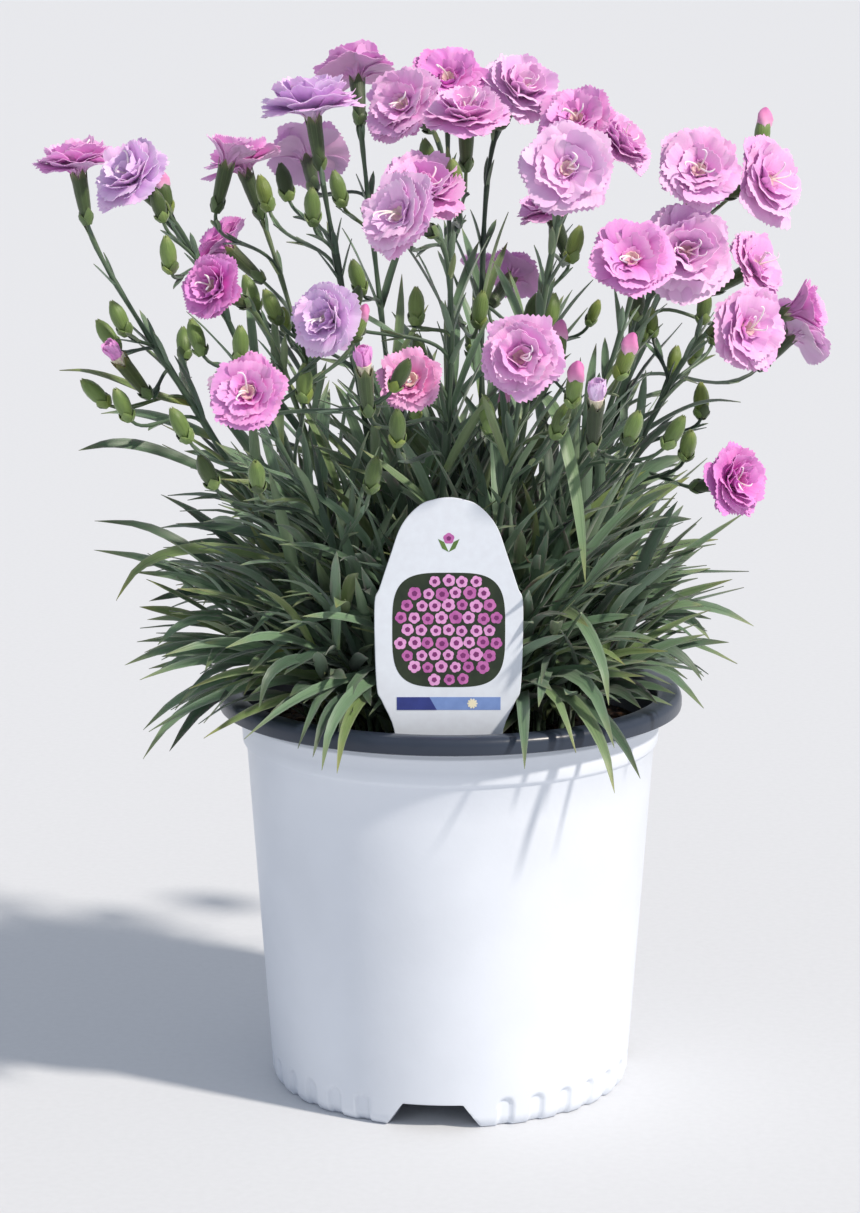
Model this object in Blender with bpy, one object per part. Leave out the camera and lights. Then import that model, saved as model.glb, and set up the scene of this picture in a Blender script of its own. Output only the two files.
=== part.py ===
"""A flowering dianthus plant in its round nursery pot, with a plant label standing in the soil.

The pot's axis is the Z axis and its foot stands on z = 0. The front, where the label stands, faces -Y.
Every length below is in millimetres and every angle in degrees until mm() or math.radians() turns it.
The plant is made of sprays. A spray is one green body: a main stem, the stalks that leave it, and the
calyxes, closed buds and leaves that grow on them. Each open flower is a body of its own, which stands
on its calyx.
"""

import math
import random
from typing import NamedTuple

import bpy
from mathutils import Matrix, Vector
from mathutils.bvhtree import BVHTree

# Pot: a thin plastic wall with a rolled rim, turned about its axis.
POT_SIDES = 32
POT_HEIGHT = 143.0
RIM_RADIUS = 82.5
RIM_UNDERSIDE = 137.0
SHOULDER_RADIUS = 74.6      # the wall just under the rim
STEP_HEIGHT = 124.0         # below this line the wall steps in
STEP_RADIUS = 72.8
FOOT_RADIUS = 64.2
WALL = 1.2
FOOT_RING_WIDTH = 3.4
FLOOR_UNDERSIDE = 9.3
DRAIN_RADIUS = 4.0
DRAIN_CIRCLE = 50.0

# Foot: three arches that let water out, and shallow flutes between them.
ARCHES = 3
ARCH_TURN = -95.7           # the first arch is a little left of the front
ARCH_TOP_WIDTH = 21.0
ARCH_FOOT_WIDTH = 34.0
FLUTES_PER_ARCH = 8
FIRST_FLUTE = 22.8          # from the middle of an arch
FLUTE_SPACING = 10.6
FLUTE_WIDTH = 5.2
FLUTE_HEIGHT = 10.5
FLUTE_FLOOR = 64.3          # how far a flute's floor is from the axis

# Soil: fills the pot to a little below the rim.
SOIL_TOP = 128.0
SOIL_CROWN = 3.0            # how much higher it is around the stems than at the wall

# Label: a flat plastic stake with an arched head.
LABEL_THICKNESS = 0.9
LABEL_PLACE = (-1.0, -65.5)
LABEL_LEAN = 2.0
LABEL_OUTLINE = (           # half width and height above the base, from the point up
    (3.0, 96.0), (9.0, 108.0), (16.5, 124.0), (18.4, 142.0), (22.5, 152.0), (24.4, 158.0), (25.0, 186.0),
    (23.4, 197.0), (19.2, 207.0), (12.6, 215.0), (4.6, 218.6),
)

# Plant.
GAP = 0.3                   # between bodies that touch
ROOT_DEPTH = 14.0
GREEN_SIDES = 4             # sides of a main stem, a calyx and a bud
MAIN_STEPS = 5              # straight lengths of a main stem above the soil
STEM_RADIUS = 1.35
STALK_RADIUS = 1.05
PETAL_THICKNESS = 1.1
CALYX_LENGTH = 17.0
CALYX_RADIUS = 2.7
BUD_LENGTH = 13.0
BUD_RADIUS = 3.1
HEART_HEIGHT = 0.2          # a flower's heart above its calyx, as a share of its width
LEAF_WIDTH = 4.2
LEAF_THICKNESS = 1.0
LEAF_SHEATH = 5.0           # leaves of one stem may touch up to this far from it
TRIES = 14                  # places tried for a leaf before it is left out
SEED = 41


class Head(NamedTuple):
    """One flower head: what it is, where its heart is, where it looks and how wide it is."""

    kind: str               # "bloom", "half" for a flower half open, "tip" for a bud that shows its petals, "bud"
    heart: tuple
    turn: float             # the side it looks to: 0 is +X, 270 is the front
    tilt: float             # how far it leans from straight up
    width: float
    leaves_stem: float      # how far up the main stem its stalk starts, as a share of the stem


class Spray(NamedTuple):
    """One stem that comes out of the soil. Its first head ends the main stem and the others branch off."""

    root: tuple
    heads: tuple
    draped: tuple = ()      # leaves that hang over the rim: the side, the climb, the bend and the length


def bloom(x, y, z, turn, tilt, width, leaves_stem=1.0):
    return Head("bloom", (x, y, z), turn, tilt, width, leaves_stem)


def half(x, y, z, turn, tilt, width, leaves_stem=1.0):
    return Head("half", (x, y, z), turn, tilt, width, leaves_stem)


def tip(x, y, z, turn, tilt, leaves_stem):
    return Head("tip", (x, y, z), turn, tilt, 10.5, leaves_stem)


def bud(x, y, z, turn, tilt, leaves_stem):
    return Head("bud", (x, y, z), turn, tilt, 2 * BUD_RADIUS, leaves_stem)


SPRAYS = (
    Spray((-44, 1), (
        bloom(-130, 0, 330, 180, 9, 28), tip(-116, -20, 265, 215, 40, 0.62), bud(-115, -10, 276, 190, 25, 0.66),
        bud(-121, 8, 268, 170, 35, 0.66), bud(-124, -10, 250, 195, 45, 0.56), bud(-113, -26, 248, 225, 30, 0.52),
    ), ((172, 46, 92, 76),)),
    Spray((-38, -11), (
        bloom(-109, -32, 327, 225, 50, 28), bud(-99, -8, 318, 160, 12, 0.82), bud(-95, -44, 301, 250, 18, 0.78),
    ), ((205, 48, 122, 80),)),
    Spray((-30, 14), (
        bloom(-76, 54, 327, 170, 20, 28), half(-77, 13, 334, 350, 14, 17, 0.8),
        bloom(-85, 79, 295, 160, 50, 24, 0.66), bloom(-77, 82, 241, 105, 60, 27, 0.4),
        bud(-71, 20, 282, 180, 20, 0.62),
    )),
    Spray((-19, -3), (
        bloom(-48, -15, 351, 185, 8, 34), bud(-58, 5, 322, 160, 14, 0.78), bud(-47, -31, 316, 260, 12, 0.76),
        bud(-66, 23, 317, 150, 18, 0.72), bud(-62, -10, 280, 190, 24, 0.55),
    )),
    Spray((-14, 24), (
        bloom(-34, 58, 360, 100, 25, 28), bloom(-53, 82, 328, 100, 55, 28, 0.78),
        bud(-40, 31, 318, 190, 14, 0.72), bud(-33, 15, 288, 220, 20, 0.6),
    ), ((115, 48, 108, 78),)),
    Spray((-5, 10), (
        bloom(-18, -3, 350, 235, 62, 28), bloom(-9, -38, 323, 290, 36, 30, 0.66),
    )),
    Spray((2, 6), (
        bloom(-1, 31, 358, 270, 48, 26), bloom(5, -28, 348, 270, 25, 28, 0.64), bud(-8, 38, 329, 200, 14, 0.8),
        bud(1, -35, 326, 230, 14, 0.66), bud(10, -18, 280, 300, 16, 0.56),
    )),
    Spray((13, 13), (
        bloom(26, 36, 354, 300, 48, 30), half(12, 74, 287, 80, 30, 15, 0.6), bud(29, 15, 276, 320, 20, 0.58),
    )),
    Spray((15, -13), (
        bloom(38, -59, 331, 270, 74, 31), bud(35, -8, 278, 60, 16, 0.62), bud(43, -3, 301, 20, 18, 0.74),
    )),
    Spray((21, 27), (
        bloom(63, 60, 333, 330, 50, 26), bloom(44, 20, 344, 255, 55, 26, 0.76),
        bloom(36, 56, 310, 200, 22, 25, 0.66), bloom(24, 82, 283, 60, 60, 21, 0.5),
        bloom(27, 82, 249, 90, 62, 27, 0.34),
    ), ((60, 48, 108, 78),)),
    Spray((31, -3), (
        bloom(84, -28, 329, 275, 62, 29), bloom(80, -31, 301, 280, 76, 33, 0.8), bud(66, 10, 272, 150, 20, 0.62),
    )),
    Spray((38, 8), (
        bloom(111, -8, 324, 318, 72, 30), bloom(111, 33, 291, 330, 60, 27, 0.72),
        half(127, 13, 278, 345, 70, 21, 0.64), bloom(130, 72, 264, 25, 50, 29, 0.5),
        bud(111, 33, 337, 60, 16, 0.86),
    ), ((352, 48, 100, 76),)),
    Spray((40, -13), (
        bloom(103, -26, 274, 305, 82, 29), bloom(97, -44, 224, 310, 78, 25, 0.5),
        bud(88, 0, 246, 90, 26, 0.56), bud(81, -33, 235, 280, 34, 0.46),
    ), ((318, 50, 118, 76),)),
    Spray((24, -22), (
        bloom(59, -64, 302, 265, 56, 27), tip(47, -84, 259, 275, 24, 0.56), bud(57, -67, 268, 330, 20, 0.62),
        bud(59, -84, 248, 300, 30, 0.5), bud(75, -51, 242, 330, 32, 0.48),
    ), ((296, 52, 150, 84), (316, 50, 120, 76),)),
    Spray((9, -30), (
        bloom(22, -82, 271, 265, 74, 27), bud(40, -77, 260, 290, 20, 0.6), bud(36, -41, 269, 60, 14, 0.66),
        bud(36, -67, 248, 320, 24, 0.52), bud(12, -44, 247, 120, 18, 0.6),
    ), ((303, 52, 152, 80),)),
    Spray((-8, -22), (
        bloom(-19, -69, 317, 230, 68, 29), bloom(-14, -61, 261, 265, 68, 21, 0.52),
        bloom(-42, -69, 282, 235, 74, 24, 0.62), tip(-29, -82, 270, 260, 24, 0.5),
        bud(-18, -84, 248, 270, 18, 0.44), bud(-12, -28, 282, 90, 12, 0.68),
    ), ((236, 54, 140, 84),)),
    Spray((-22, -26), (
        bloom(-67, -84, 260, 260, 64, 25), bud(-64, -84, 232, 265, 34, 0.56), bud(-81, -74, 232, 225, 30, 0.52),
        bud(-49, -64, 260, 90, 14, 0.66), bud(-91, -56, 245, 200, 28, 0.6), bud(-26, -74, 231, 300, 20, 0.4),
    ), ((248, 52, 150, 78),)),
    Spray((-31, -17), (
        bloom(-81, -41, 290, 235, 68, 22), bud(-88, -15, 270, 170, 18, 0.68), bud(-71, -46, 271, 270, 14, 0.72),
    ), ((222, 48, 128, 80),)),
)


class Shape(NamedTuple):
    """A closed solid, as points and the faces between them."""

    points: list
    faces: list

    def moved(self, matrix):
        return Shape([matrix @ point for point in self.points], self.faces)

    def tree(self):
        return BVHTree.FromPolygons(self.points, self.faces)

    def beyond(self, centre, reach):
        """The same surface with every point at least this far from the centre."""
        points = []
        for point in self.points:
            away = point - centre
            points.append(point if away.length > reach else centre + away.normalized() * reach)
        return Shape(points, self.faces)


def mm(value):
    return value * 0.001


def place(x, y, z):
    return Vector((mm(x), mm(y), mm(z)))


def heading(turn, tilt):
    """The direction that leans tilt degrees from straight up, towards turn."""
    turn, tilt = math.radians(turn), math.radians(tilt)
    return Vector((math.cos(turn) * math.sin(tilt), math.sin(turn) * math.sin(tilt), math.cos(tilt)))


def curve(start, leave, end, arrive, steps):
    """Points along the smooth curve that leaves start and arrives at end along the two given vectors."""
    points = []
    for step in range(steps + 1):
        t = step / steps
        points.append(
            start * (1 - t) ** 3 + (start + leave) * (3 * t * (1 - t) ** 2)
            + (end - arrive) * (3 * t * t * (1 - t)) + end * t ** 3
        )
    return points


def tube(path, radii, sides, cap_point=False):
    """A closed tube through the path's points. With cap_point its last point is a tip and not a flat end."""
    points, faces, side = [], [], None
    rings = len(path) - 1 if cap_point else len(path)
    for index in range(rings):
        before, after = path[max(index - 1, 0)], path[min(index + 1, len(path) - 1)]
        along = (after - before).normalized()
        if side is None:
            side = along.orthogonal().normalized()
        side = (side - along * side.dot(along)).normalized()
        across = along.cross(side)
        for corner in range(sides):
            angle = 2 * math.pi * corner / sides
            points.append(path[index] + (side * math.cos(angle) + across * math.sin(angle)) * radii[index])
    faces.append(tuple(reversed(range(sides))))
    for ring in range(rings - 1):
        for corner in range(sides):
            low, high, after = ring * sides, (ring + 1) * sides, (corner + 1) % sides
            faces.append((low + corner, low + after, high + after, high + corner))
    last = (rings - 1) * sides
    if cap_point:
        points.append(path[-1])
        faces.extend((last + corner, last + (corner + 1) % sides, len(points) - 1) for corner in range(sides))
    else:
        faces.append(tuple(range(last, last + sides)))
    return Shape(points, faces)


def calyx(mouth, faces_to):
    """The green tube that holds the petals."""
    foot = mouth - faces_to * mm(CALYX_LENGTH)
    return tube([foot, mouth], [mm(CALYX_RADIUS * 0.75), mm(CALYX_RADIUS)], GREEN_SIDES), foot


def closed_bud(heart, faces_to):
    """A bud whose teeth meet over it, and the foot that it stands on."""
    foot = heart - faces_to * mm(BUD_LENGTH / 2)
    path = [foot + faces_to * mm(BUD_LENGTH * share) for share in (0.0, 0.45, 1.0)]
    return tube(path, [mm(BUD_RADIUS * 0.55), mm(BUD_RADIUS), 0.0], GREEN_SIDES, cap_point=True), foot


# A petal seen from above, as shares of its length and width: a narrow claw and a fringed edge.
PETAL_OUTLINE = ((0.02, 0.0), (0.62, -0.44), (0.93, -0.36), (0.88, 0.0), (1.0, 0.32), (0.66, 0.46))


def petal(length, width, base, rise, turn):
    """One petal: a fringed plate, thicker in its middle, whose claw starts on the flower's axis at height base."""
    points = [Vector((mm(length * out), mm(width * side), 0.0)) for out, side in PETAL_OUTLINE]
    points.append(Vector((mm(length * 0.62), 0.0, mm(-PETAL_THICKNESS))))
    count = len(PETAL_OUTLINE)
    faces = [tuple(reversed(range(count)))] + [(index, (index + 1) % count, count) for index in range(count)]
    lift = Matrix.Translation((0.0, 0.0, mm(base))) @ Matrix.Rotation(math.radians(-rise), 4, "Y")
    return Shape(points, faces).moved(Matrix.Rotation(math.radians(turn), 4, "Z") @ lift)


def petal_rings(head):
    """The rings of petals: how many, their length and width, the height of the claw's foot, and their rise."""
    reach = head.width / 2
    if head.kind == "bloom":
        return (5, reach * 1.02, reach * 0.98, 3.0, 10), (3, reach * 0.92, reach * 1.0, 4.2, 42)
    if head.kind == "half":
        return (5, reach * 1.3, reach * 1.0, 1.8, 42), (2, reach * 1.2, reach * 0.8, 2.4, 68)
    return ((4, reach * 1.6, reach * 1.1, 1.1, 62),)


def core(head):
    """The bundle of claws in the middle of a flower, a cone that stands on the calyx."""
    top, height = {"bloom": (3.2, 5.6), "half": (2.8, 3.6), "tip": (2.4, 2.2)}[head.kind]
    return tube([place(0, 0, GAP), place(0, 0, height)], [mm(1.9), mm(top)], 4)


def blade(start, turn, climb, bend, length, width, sway=0.0, steps=3):
    """A narrow leaf: it starts climb degrees above level and bends down by bend degrees along its length.

    Its section is a triangle with a keel below. sway turns it sideways on its way out.
    """
    shares = (0.4, 1.0, 0.85, 0.6)
    points, spot = [], start
    for step in range(steps + 1):
        t = step / steps
        slope = math.radians(climb - bend * t ** 1.3)
        way = math.radians(turn + sway * t)
        out = Vector((math.cos(way), math.sin(way), 0.0))
        if step == steps:
            points.append(spot)
            break
        across = Vector((-math.sin(way), math.cos(way), 0.0))
        under = out * math.sin(slope) - Vector((0, 0, math.cos(slope)))
        reach = mm(width * shares[step] / 2)
        keel = mm(LEAF_THICKNESS * (1.0 if step else 0.6))
        points.extend((spot + across * reach, spot - across * reach, spot + under * keel))
        spot = spot + (out * math.cos(slope) + Vector((0, 0, math.sin(slope)))) * mm(length / steps)
    faces = [(0, 2, 1)]
    for low in range(0, 3 * (steps - 1), 3):
        faces += [
            (low + corner, low + (corner + 1) % 3, low + 3 + (corner + 1) % 3, low + 3 + corner)
            for corner in range(3)
        ]
    last = 3 * (steps - 1)
    faces += [(last + corner, last + (corner + 1) % 3, last + 3) for corner in range(3)]
    return Shape(points, faces)


def outward(shape):
    """The same solid with its faces pointing out, whichever way they were listed."""
    volume = 0.0
    for face in shape.faces:
        for second, third in zip(face[1:], face[2:]):
            volume += shape.points[face[0]].dot(shape.points[second].cross(shape.points[third]))
    return shape if volume > 0 else Shape(shape.points, [tuple(reversed(face)) for face in shape.faces])


def paint(name, colour, roughness, metallic=0.0):
    """A plain material from a colour in linear light."""
    material = bpy.data.materials.new(name)
    material.use_nodes = True
    shader = material.node_tree.nodes["Principled BSDF"]
    shader.inputs["Base Color"].default_value = (*colour, 1.0)
    shader.inputs["Roughness"].default_value = roughness
    shader.inputs["Metallic"].default_value = metallic
    return material


def as_object(name, shape, collection):
    mesh = bpy.data.meshes.new(name)
    shape = outward(shape)
    mesh.from_pydata(shape.points, [], shape.faces)
    piece = bpy.data.objects.new(name, mesh)
    collection.objects.link(piece)
    return piece


def apply_boolean(piece, helpers, operation):
    """Join the helper shapes to the piece or cut them from it in one Boolean, and then remove them."""
    group = bpy.data.collections.new(piece.name + "_helpers")
    bpy.context.scene.collection.children.link(group)
    for helper in helpers:
        as_object("helper", helper, group)
    change = piece.modifiers.new(operation.lower(), "BOOLEAN")
    change.operand_type = "COLLECTION"
    change.collection = group
    change.operation = operation
    bpy.context.view_layer.update()
    result = bpy.data.meshes.new_from_object(piece.evaluated_get(bpy.context.evaluated_depsgraph_get()))
    piece.modifiers.clear()
    piece.data = result
    for helper in list(group.objects):
        bpy.data.objects.remove(helper)
    bpy.data.collections.remove(group)


def finish(piece, material, sharp=40.0):
    piece.data.materials.clear()
    piece.data.materials.append(material)
    piece.data.shade_smooth()
    piece.data.set_sharp_from_angle(angle=math.radians(sharp))


def grown(name, shapes, material):
    """One body of a plant, from overlapping shapes."""
    piece = as_object(name, shapes[0], bpy.context.scene.collection)
    apply_boolean(piece, shapes[1:], "UNION")
    finish(piece, material)
    return piece


def turned(profile, sides):
    """The solid that a closed profile of radius and height sweeps around the Z axis.

    A profile that starts and ends on the axis closes the solid there.
    """
    points, faces, rings = [], [], []
    for radius, height in profile:
        if radius == 0.0:
            rings.append([len(points)] * sides)
            points.append(place(0, 0, height))
            continue
        rings.append([len(points) + side for side in range(sides)])
        for side in range(sides):
            angle = 2 * math.pi * side / sides
            points.append(place(radius * math.cos(angle), radius * math.sin(angle), height))
    for low, high in zip(rings, rings[1:]):
        for side in range(sides):
            after = (side + 1) % sides
            corners = (low[side], low[after], high[after], high[side])
            face = tuple(dict.fromkeys(corners))
            if len(face) > 2:
                faces.append(face)
    return Shape(points, faces)


def prism(outline, low, high, matrix):
    """A straight solid with this outline, from low to high along its own Z axis, put in place by the matrix."""
    count = len(outline)
    points = [Vector((mm(x), mm(y), mm(level))) for level in (low, high) for x, y in outline]
    faces = [tuple(reversed(range(count))), tuple(range(count, 2 * count))]
    faces += [(side, (side + 1) % count, count + (side + 1) % count, count + side) for side in range(count)]
    return Shape(points, faces).moved(matrix)


def radial(turn, radius, height):
    """A frame at the pot's wall whose X runs along the wall, Y up and Z outwards."""
    turn = math.radians(turn)
    out = Vector((math.cos(turn), math.sin(turn), 0.0))
    along = Vector((-out.y, out.x, 0.0))
    up = Vector((0.0, 0.0, 1.0))
    spot = out * mm(radius) + up * mm(height)
    return Matrix.Translation(spot) @ Matrix((along, up, out)).transposed().to_4x4()


def wall_radius(height):
    """The outside of the pot's wall below the step."""
    return FOOT_RADIUS + (STEP_RADIUS - FOOT_RADIUS) * height / STEP_HEIGHT


def build_pot(material):
    inside_top = SHOULDER_RADIUS - WALL
    profile = (
        (0.0, FLOOR_UNDERSIDE), (FOOT_RADIUS - 2 - FOOT_RING_WIDTH, FLOOR_UNDERSIDE),
        (FOOT_RADIUS - 2 - FOOT_RING_WIDTH, 0.0), (FOOT_RADIUS - 2, 0.0), (wall_radius(3.5), 3.5),
        (STEP_RADIUS, STEP_HEIGHT), (SHOULDER_RADIUS - 0.3, STEP_HEIGHT + 1.4),
        (SHOULDER_RADIUS, RIM_UNDERSIDE + 0.8), (RIM_RADIUS - 0.6, RIM_UNDERSIDE),
        (RIM_RADIUS, POT_HEIGHT - 2.0), (RIM_RADIUS - 2.0, POT_HEIGHT), (inside_top + 1.4, POT_HEIGHT),
        (inside_top, POT_HEIGHT - 1.6), (inside_top, STEP_HEIGHT + 1.0), (STEP_RADIUS - WALL, STEP_HEIGHT - 1.0),
        (wall_radius(FLOOR_UNDERSIDE + WALL) - WALL, FLOOR_UNDERSIDE + WALL),
        (0.0, FLOOR_UNDERSIDE + WALL),
    )
    pot = as_object("pot", turned(profile, POT_SIDES), bpy.context.scene.collection)
    arch = (
        (-ARCH_FOOT_WIDTH / 2, -1.0), (ARCH_FOOT_WIDTH / 2, -1.0), (ARCH_TOP_WIDTH / 2 + 1.6, FLOOR_UNDERSIDE - 2.0),
        (ARCH_TOP_WIDTH / 2, FLOOR_UNDERSIDE - 0.4), (-ARCH_TOP_WIDTH / 2, FLOOR_UNDERSIDE - 0.4),
        (-ARCH_TOP_WIDTH / 2 - 1.6, FLOOR_UNDERSIDE - 2.0),
    )
    half_width = FLUTE_WIDTH / 2
    flute = (
        (-half_width, -1.0), (half_width, -1.0), (half_width, FLUTE_HEIGHT - half_width), (0.0, FLUTE_HEIGHT),
        (-half_width, FLUTE_HEIGHT - half_width),
    )
    cuts = []
    for number in range(ARCHES):
        turn = ARCH_TURN + 360.0 / ARCHES * number
        cuts.append(prism(arch, -12.0, 12.0, radial(turn, FOOT_RADIUS - 2, 0.0)))
        drain = [
            (DRAIN_RADIUS * math.cos(math.radians(60 * corner)), DRAIN_RADIUS * math.sin(math.radians(60 * corner)))
            for corner in range(6)
        ]
        spot = Matrix.Rotation(math.radians(turn), 4, "Z") @ Matrix.Translation(place(DRAIN_CIRCLE, 0, 0))
        cuts.append(prism(drain, FLOOR_UNDERSIDE - 2, FLOOR_UNDERSIDE + WALL + 2, spot))
        for flute_number in range(FLUTES_PER_ARCH):
            side = turn + FIRST_FLUTE + FLUTE_SPACING * flute_number
            cuts.append(prism(flute, 0.0, 8.0, radial(side, FLUTE_FLOOR, 0.0)))
    apply_boolean(pot, cuts, "DIFFERENCE")
    finish(pot, material, 30.0)
    return pot


def label_shape(grow=0.0):
    """The label, or with grow the larger shape that its slot in the soil is cut with."""
    right = [(half_width + grow, height) for half_width, height in LABEL_OUTLINE]
    if grow:
        right[0] = (right[0][0], right[0][1] - 2 * grow)
    outline = right + [(-half_width, height) for half_width, height in reversed(right)]
    lean = Matrix.Translation(place(*LABEL_PLACE, SOIL_TOP)) @ Matrix.Rotation(math.radians(-LABEL_LEAN), 4, "X")
    stand = Matrix.Rotation(math.radians(90), 4, "X")
    drop = Matrix.Translation(place(0, 0, -SOIL_TOP))
    thick = LABEL_THICKNESS / 2 + grow
    return prism(outline, -thick, thick, lean @ drop @ stand)


def build_soil(material, roots):
    """The soil, with a plain hole for each stem and a slot for the label."""
    gap = WALL + GAP
    profile = (
        (0.0, FLOOR_UNDERSIDE + gap), (wall_radius(FLOOR_UNDERSIDE + gap) - gap, FLOOR_UNDERSIDE + gap),
        (STEP_RADIUS - gap, STEP_HEIGHT - 1.2), (SHOULDER_RADIUS - gap, STEP_HEIGHT + 1.2),
        (SHOULDER_RADIUS - gap, SOIL_TOP - 1.0), (50.0, SOIL_TOP + SOIL_CROWN * 0.5), (0.0, SOIL_TOP + SOIL_CROWN),
    )
    soil = as_object("soil", turned(profile, POT_SIDES // 2), bpy.context.scene.collection)
    cuts = [label_shape(GAP)]
    for x, y in roots:
        path = [place(x, y, SOIL_TOP - ROOT_DEPTH - GAP), place(x, y, SOIL_TOP + SOIL_CROWN + 4)]
        cuts.append(tube(path, [mm(STEM_RADIUS + 2 * GAP)] * 2, GREEN_SIDES))
    apply_boolean(soil, cuts, "DIFFERENCE")
    finish(soil, material, 60.0)
    return soil


class Stem(NamedTuple):
    """The green shapes of a spray that come before its leaves."""

    path: list              # the main stem's points, from the soil up
    shapes: list
    flowers: list           # the open heads, each with the place and direction of its calyx's mouth


def grow_stem(spray):
    """The main stem from the soil to the first head, and a stalk to each of the others."""
    root = place(*spray.root, SOIL_TOP - ROOT_DEPTH)
    level = place(*spray.root, SOIL_TOP + SOIL_CROWN + 2)
    shapes, flowers, main = [], [], []
    for head in spray.heads:
        faces_to = heading(head.turn, head.tilt)
        heart = place(*head.heart)
        if head.kind == "bud":
            top, foot = closed_bud(heart, faces_to)
        else:
            mouth = heart - faces_to * mm(head.width * (HEART_HEIGHT if head.kind == "bloom" else 0.4))
            top, foot = calyx(mouth, faces_to)
            flowers.append((head, mouth, faces_to))
        arrive = foot + faces_to * mm(1.5)
        if not main:
            reach = (arrive - level).length
            main = [root] + curve(level, Vector((0, 0, reach * 0.3)), arrive, faces_to * reach * 0.14, MAIN_STEPS)
            radii = [STEM_RADIUS] * 2 + [STEM_RADIUS - 0.07 * step for step in range(1, MAIN_STEPS + 1)]
            shapes.append(tube(main, [mm(radius) for radius in radii], GREEN_SIDES))
        else:
            spot = 1 + head.leaves_stem * MAIN_STEPS
            below = min(int(spot), len(main) - 2)
            start = main[below].lerp(main[below + 1], spot - below)
            along = (main[below + 1] - main[below]).normalized()
            reach = (arrive - start).length
            path = curve(start, along * reach * 0.35, arrive, faces_to * reach * 0.35, 2)
            shapes.append(tube(path, [mm(STALK_RADIUS)] * len(path), 3))
        shapes.append(top)
    return Stem(main, shapes, flowers)


def flower_matrix(mouth, faces_to, spin):
    """The frame that stands on a calyx's mouth, with its Z axis the way that the flower looks."""
    look = faces_to.to_track_quat("Z", "Y").to_matrix().to_4x4()
    return Matrix.Translation(mouth) @ look @ Matrix.Rotation(spin, 4, "Z")


def touches(shape, trees):
    tree = shape.tree()
    return any(tree.overlap(other) for other in trees)


def grow_flower(head, mouth, faces_to, chance, others):
    """The core and petals of one open head. A petal that would cross something is raised or cut shorter."""
    matrix = flower_matrix(mouth, faces_to, chance.uniform(0, 2 * math.pi))
    shapes = [core(head).moved(matrix)]
    for ring, (count, length, width, base, rise) in enumerate(petal_rings(head)):
        for number in range(count):
            turn = 360 / count * (number + 0.5 * ring) + chance.uniform(-3, 3)
            lean, size = rise + chance.uniform(-5, 5), chance.uniform(0.94, 1.04)
            shapes.append(clear_petal(length * size, width, base, lean, turn, matrix, others))
    return shapes


def clear_petal(length, width, base, rise, turn, matrix, others):
    """The petal as planned, or the first of its raised and shortened forms that keeps clear of the others."""
    for share in (1.0, 0.85, 0.7):
        for more in (0, 10, 20, 30, 40):
            room = petal(length * share + 0.8, width * share + 0.8, base, rise + more, turn).moved(matrix)
            if not touches(room, others):
                return petal(length * share, width * share, base, rise + more, turn).moved(matrix)
    return petal(length * 0.5, width * 0.5, base, rise + 30, turn).moved(matrix)


def leaf_plan(spray, stem, chance):
    """Where the leaves of a spray grow: those that hang over the rim, a tuft at its foot, steeper leaves above it,
    and pairs further up.
    """
    out = math.degrees(math.atan2(spray.root[1], spray.root[0]))
    foot = stem.path[1]
    edge = math.hypot(*spray.root) / 46
    for turn, climb, bend, length in spray.draped:
        yield foot, turn, climb, bend, length, LEAF_WIDTH * 1.3, 4
    for number in range(6):
        start = foot.lerp(stem.path[2], (3.2 * number + chance.uniform(2, 3.5)) / 42)
        turn = out + (number % 2 * 2 - 1) * chance.uniform(10, 120 - 40 * edge)
        climb = chance.uniform(48, 74) - 14 * edge * (number % 3 == 0)
        width = LEAF_WIDTH * chance.uniform(0.95, 1.3)
        yield start, turn, climb, chance.uniform(25, 80), chance.uniform(62, 92), width, 3
    for number in range(4):
        start = foot.lerp(stem.path[2], (12 + 7 * number + chance.uniform(0, 4)) / 42)
        turn = out + chance.uniform(-150, 150)
        climb, width = chance.uniform(56, 76), LEAF_WIDTH * chance.uniform(0.9, 1.2)
        yield start, turn, climb, chance.uniform(20, 60), chance.uniform(60, 84), width, 2
    for level in (0.26, 0.46):
        spot = 1 + level * MAIN_STEPS
        below = int(spot)
        start = stem.path[below].lerp(stem.path[below + 1], spot - below)
        turn = chance.uniform(0, 180)
        for side in (0, 180):
            length = chance.uniform(54, 72) * (1.25 - level)
            climb, bend = chance.uniform(50, 70), chance.uniform(20, 60)
            width = LEAF_WIDTH * (1.1 - level * 0.4)
            yield start, turn + side + chance.uniform(-14, 14), climb, bend, length, width, 2


def grow_leaves(spray, stem, chance, others):
    """The leaves of a spray that fit between the other bodies. One that doesn't fit is turned and bent anew."""
    leaves, own = [], []
    for start, turn, climb, bend, length, width, steps in leaf_plan(spray, stem, chance):
        for _ in range(TRIES):
            sway = chance.uniform(-20, 20)
            test = blade(start, turn, climb, bend, length + 1.0, width + 0.9, sway, steps)
            leaf = blade(start, turn, climb, bend, length, width, sway, steps)
            if not touches(test, others + own) and not touches(leaf, others):
                leaves.append(leaf)
                own.append(leaf.beyond(start, mm(LEAF_SHEATH)).tree())
                break
            turn += chance.uniform(-35, 35)
            climb = min(climb + chance.uniform(-4, 6), 80)
            length *= 0.97
    return leaves


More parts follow.
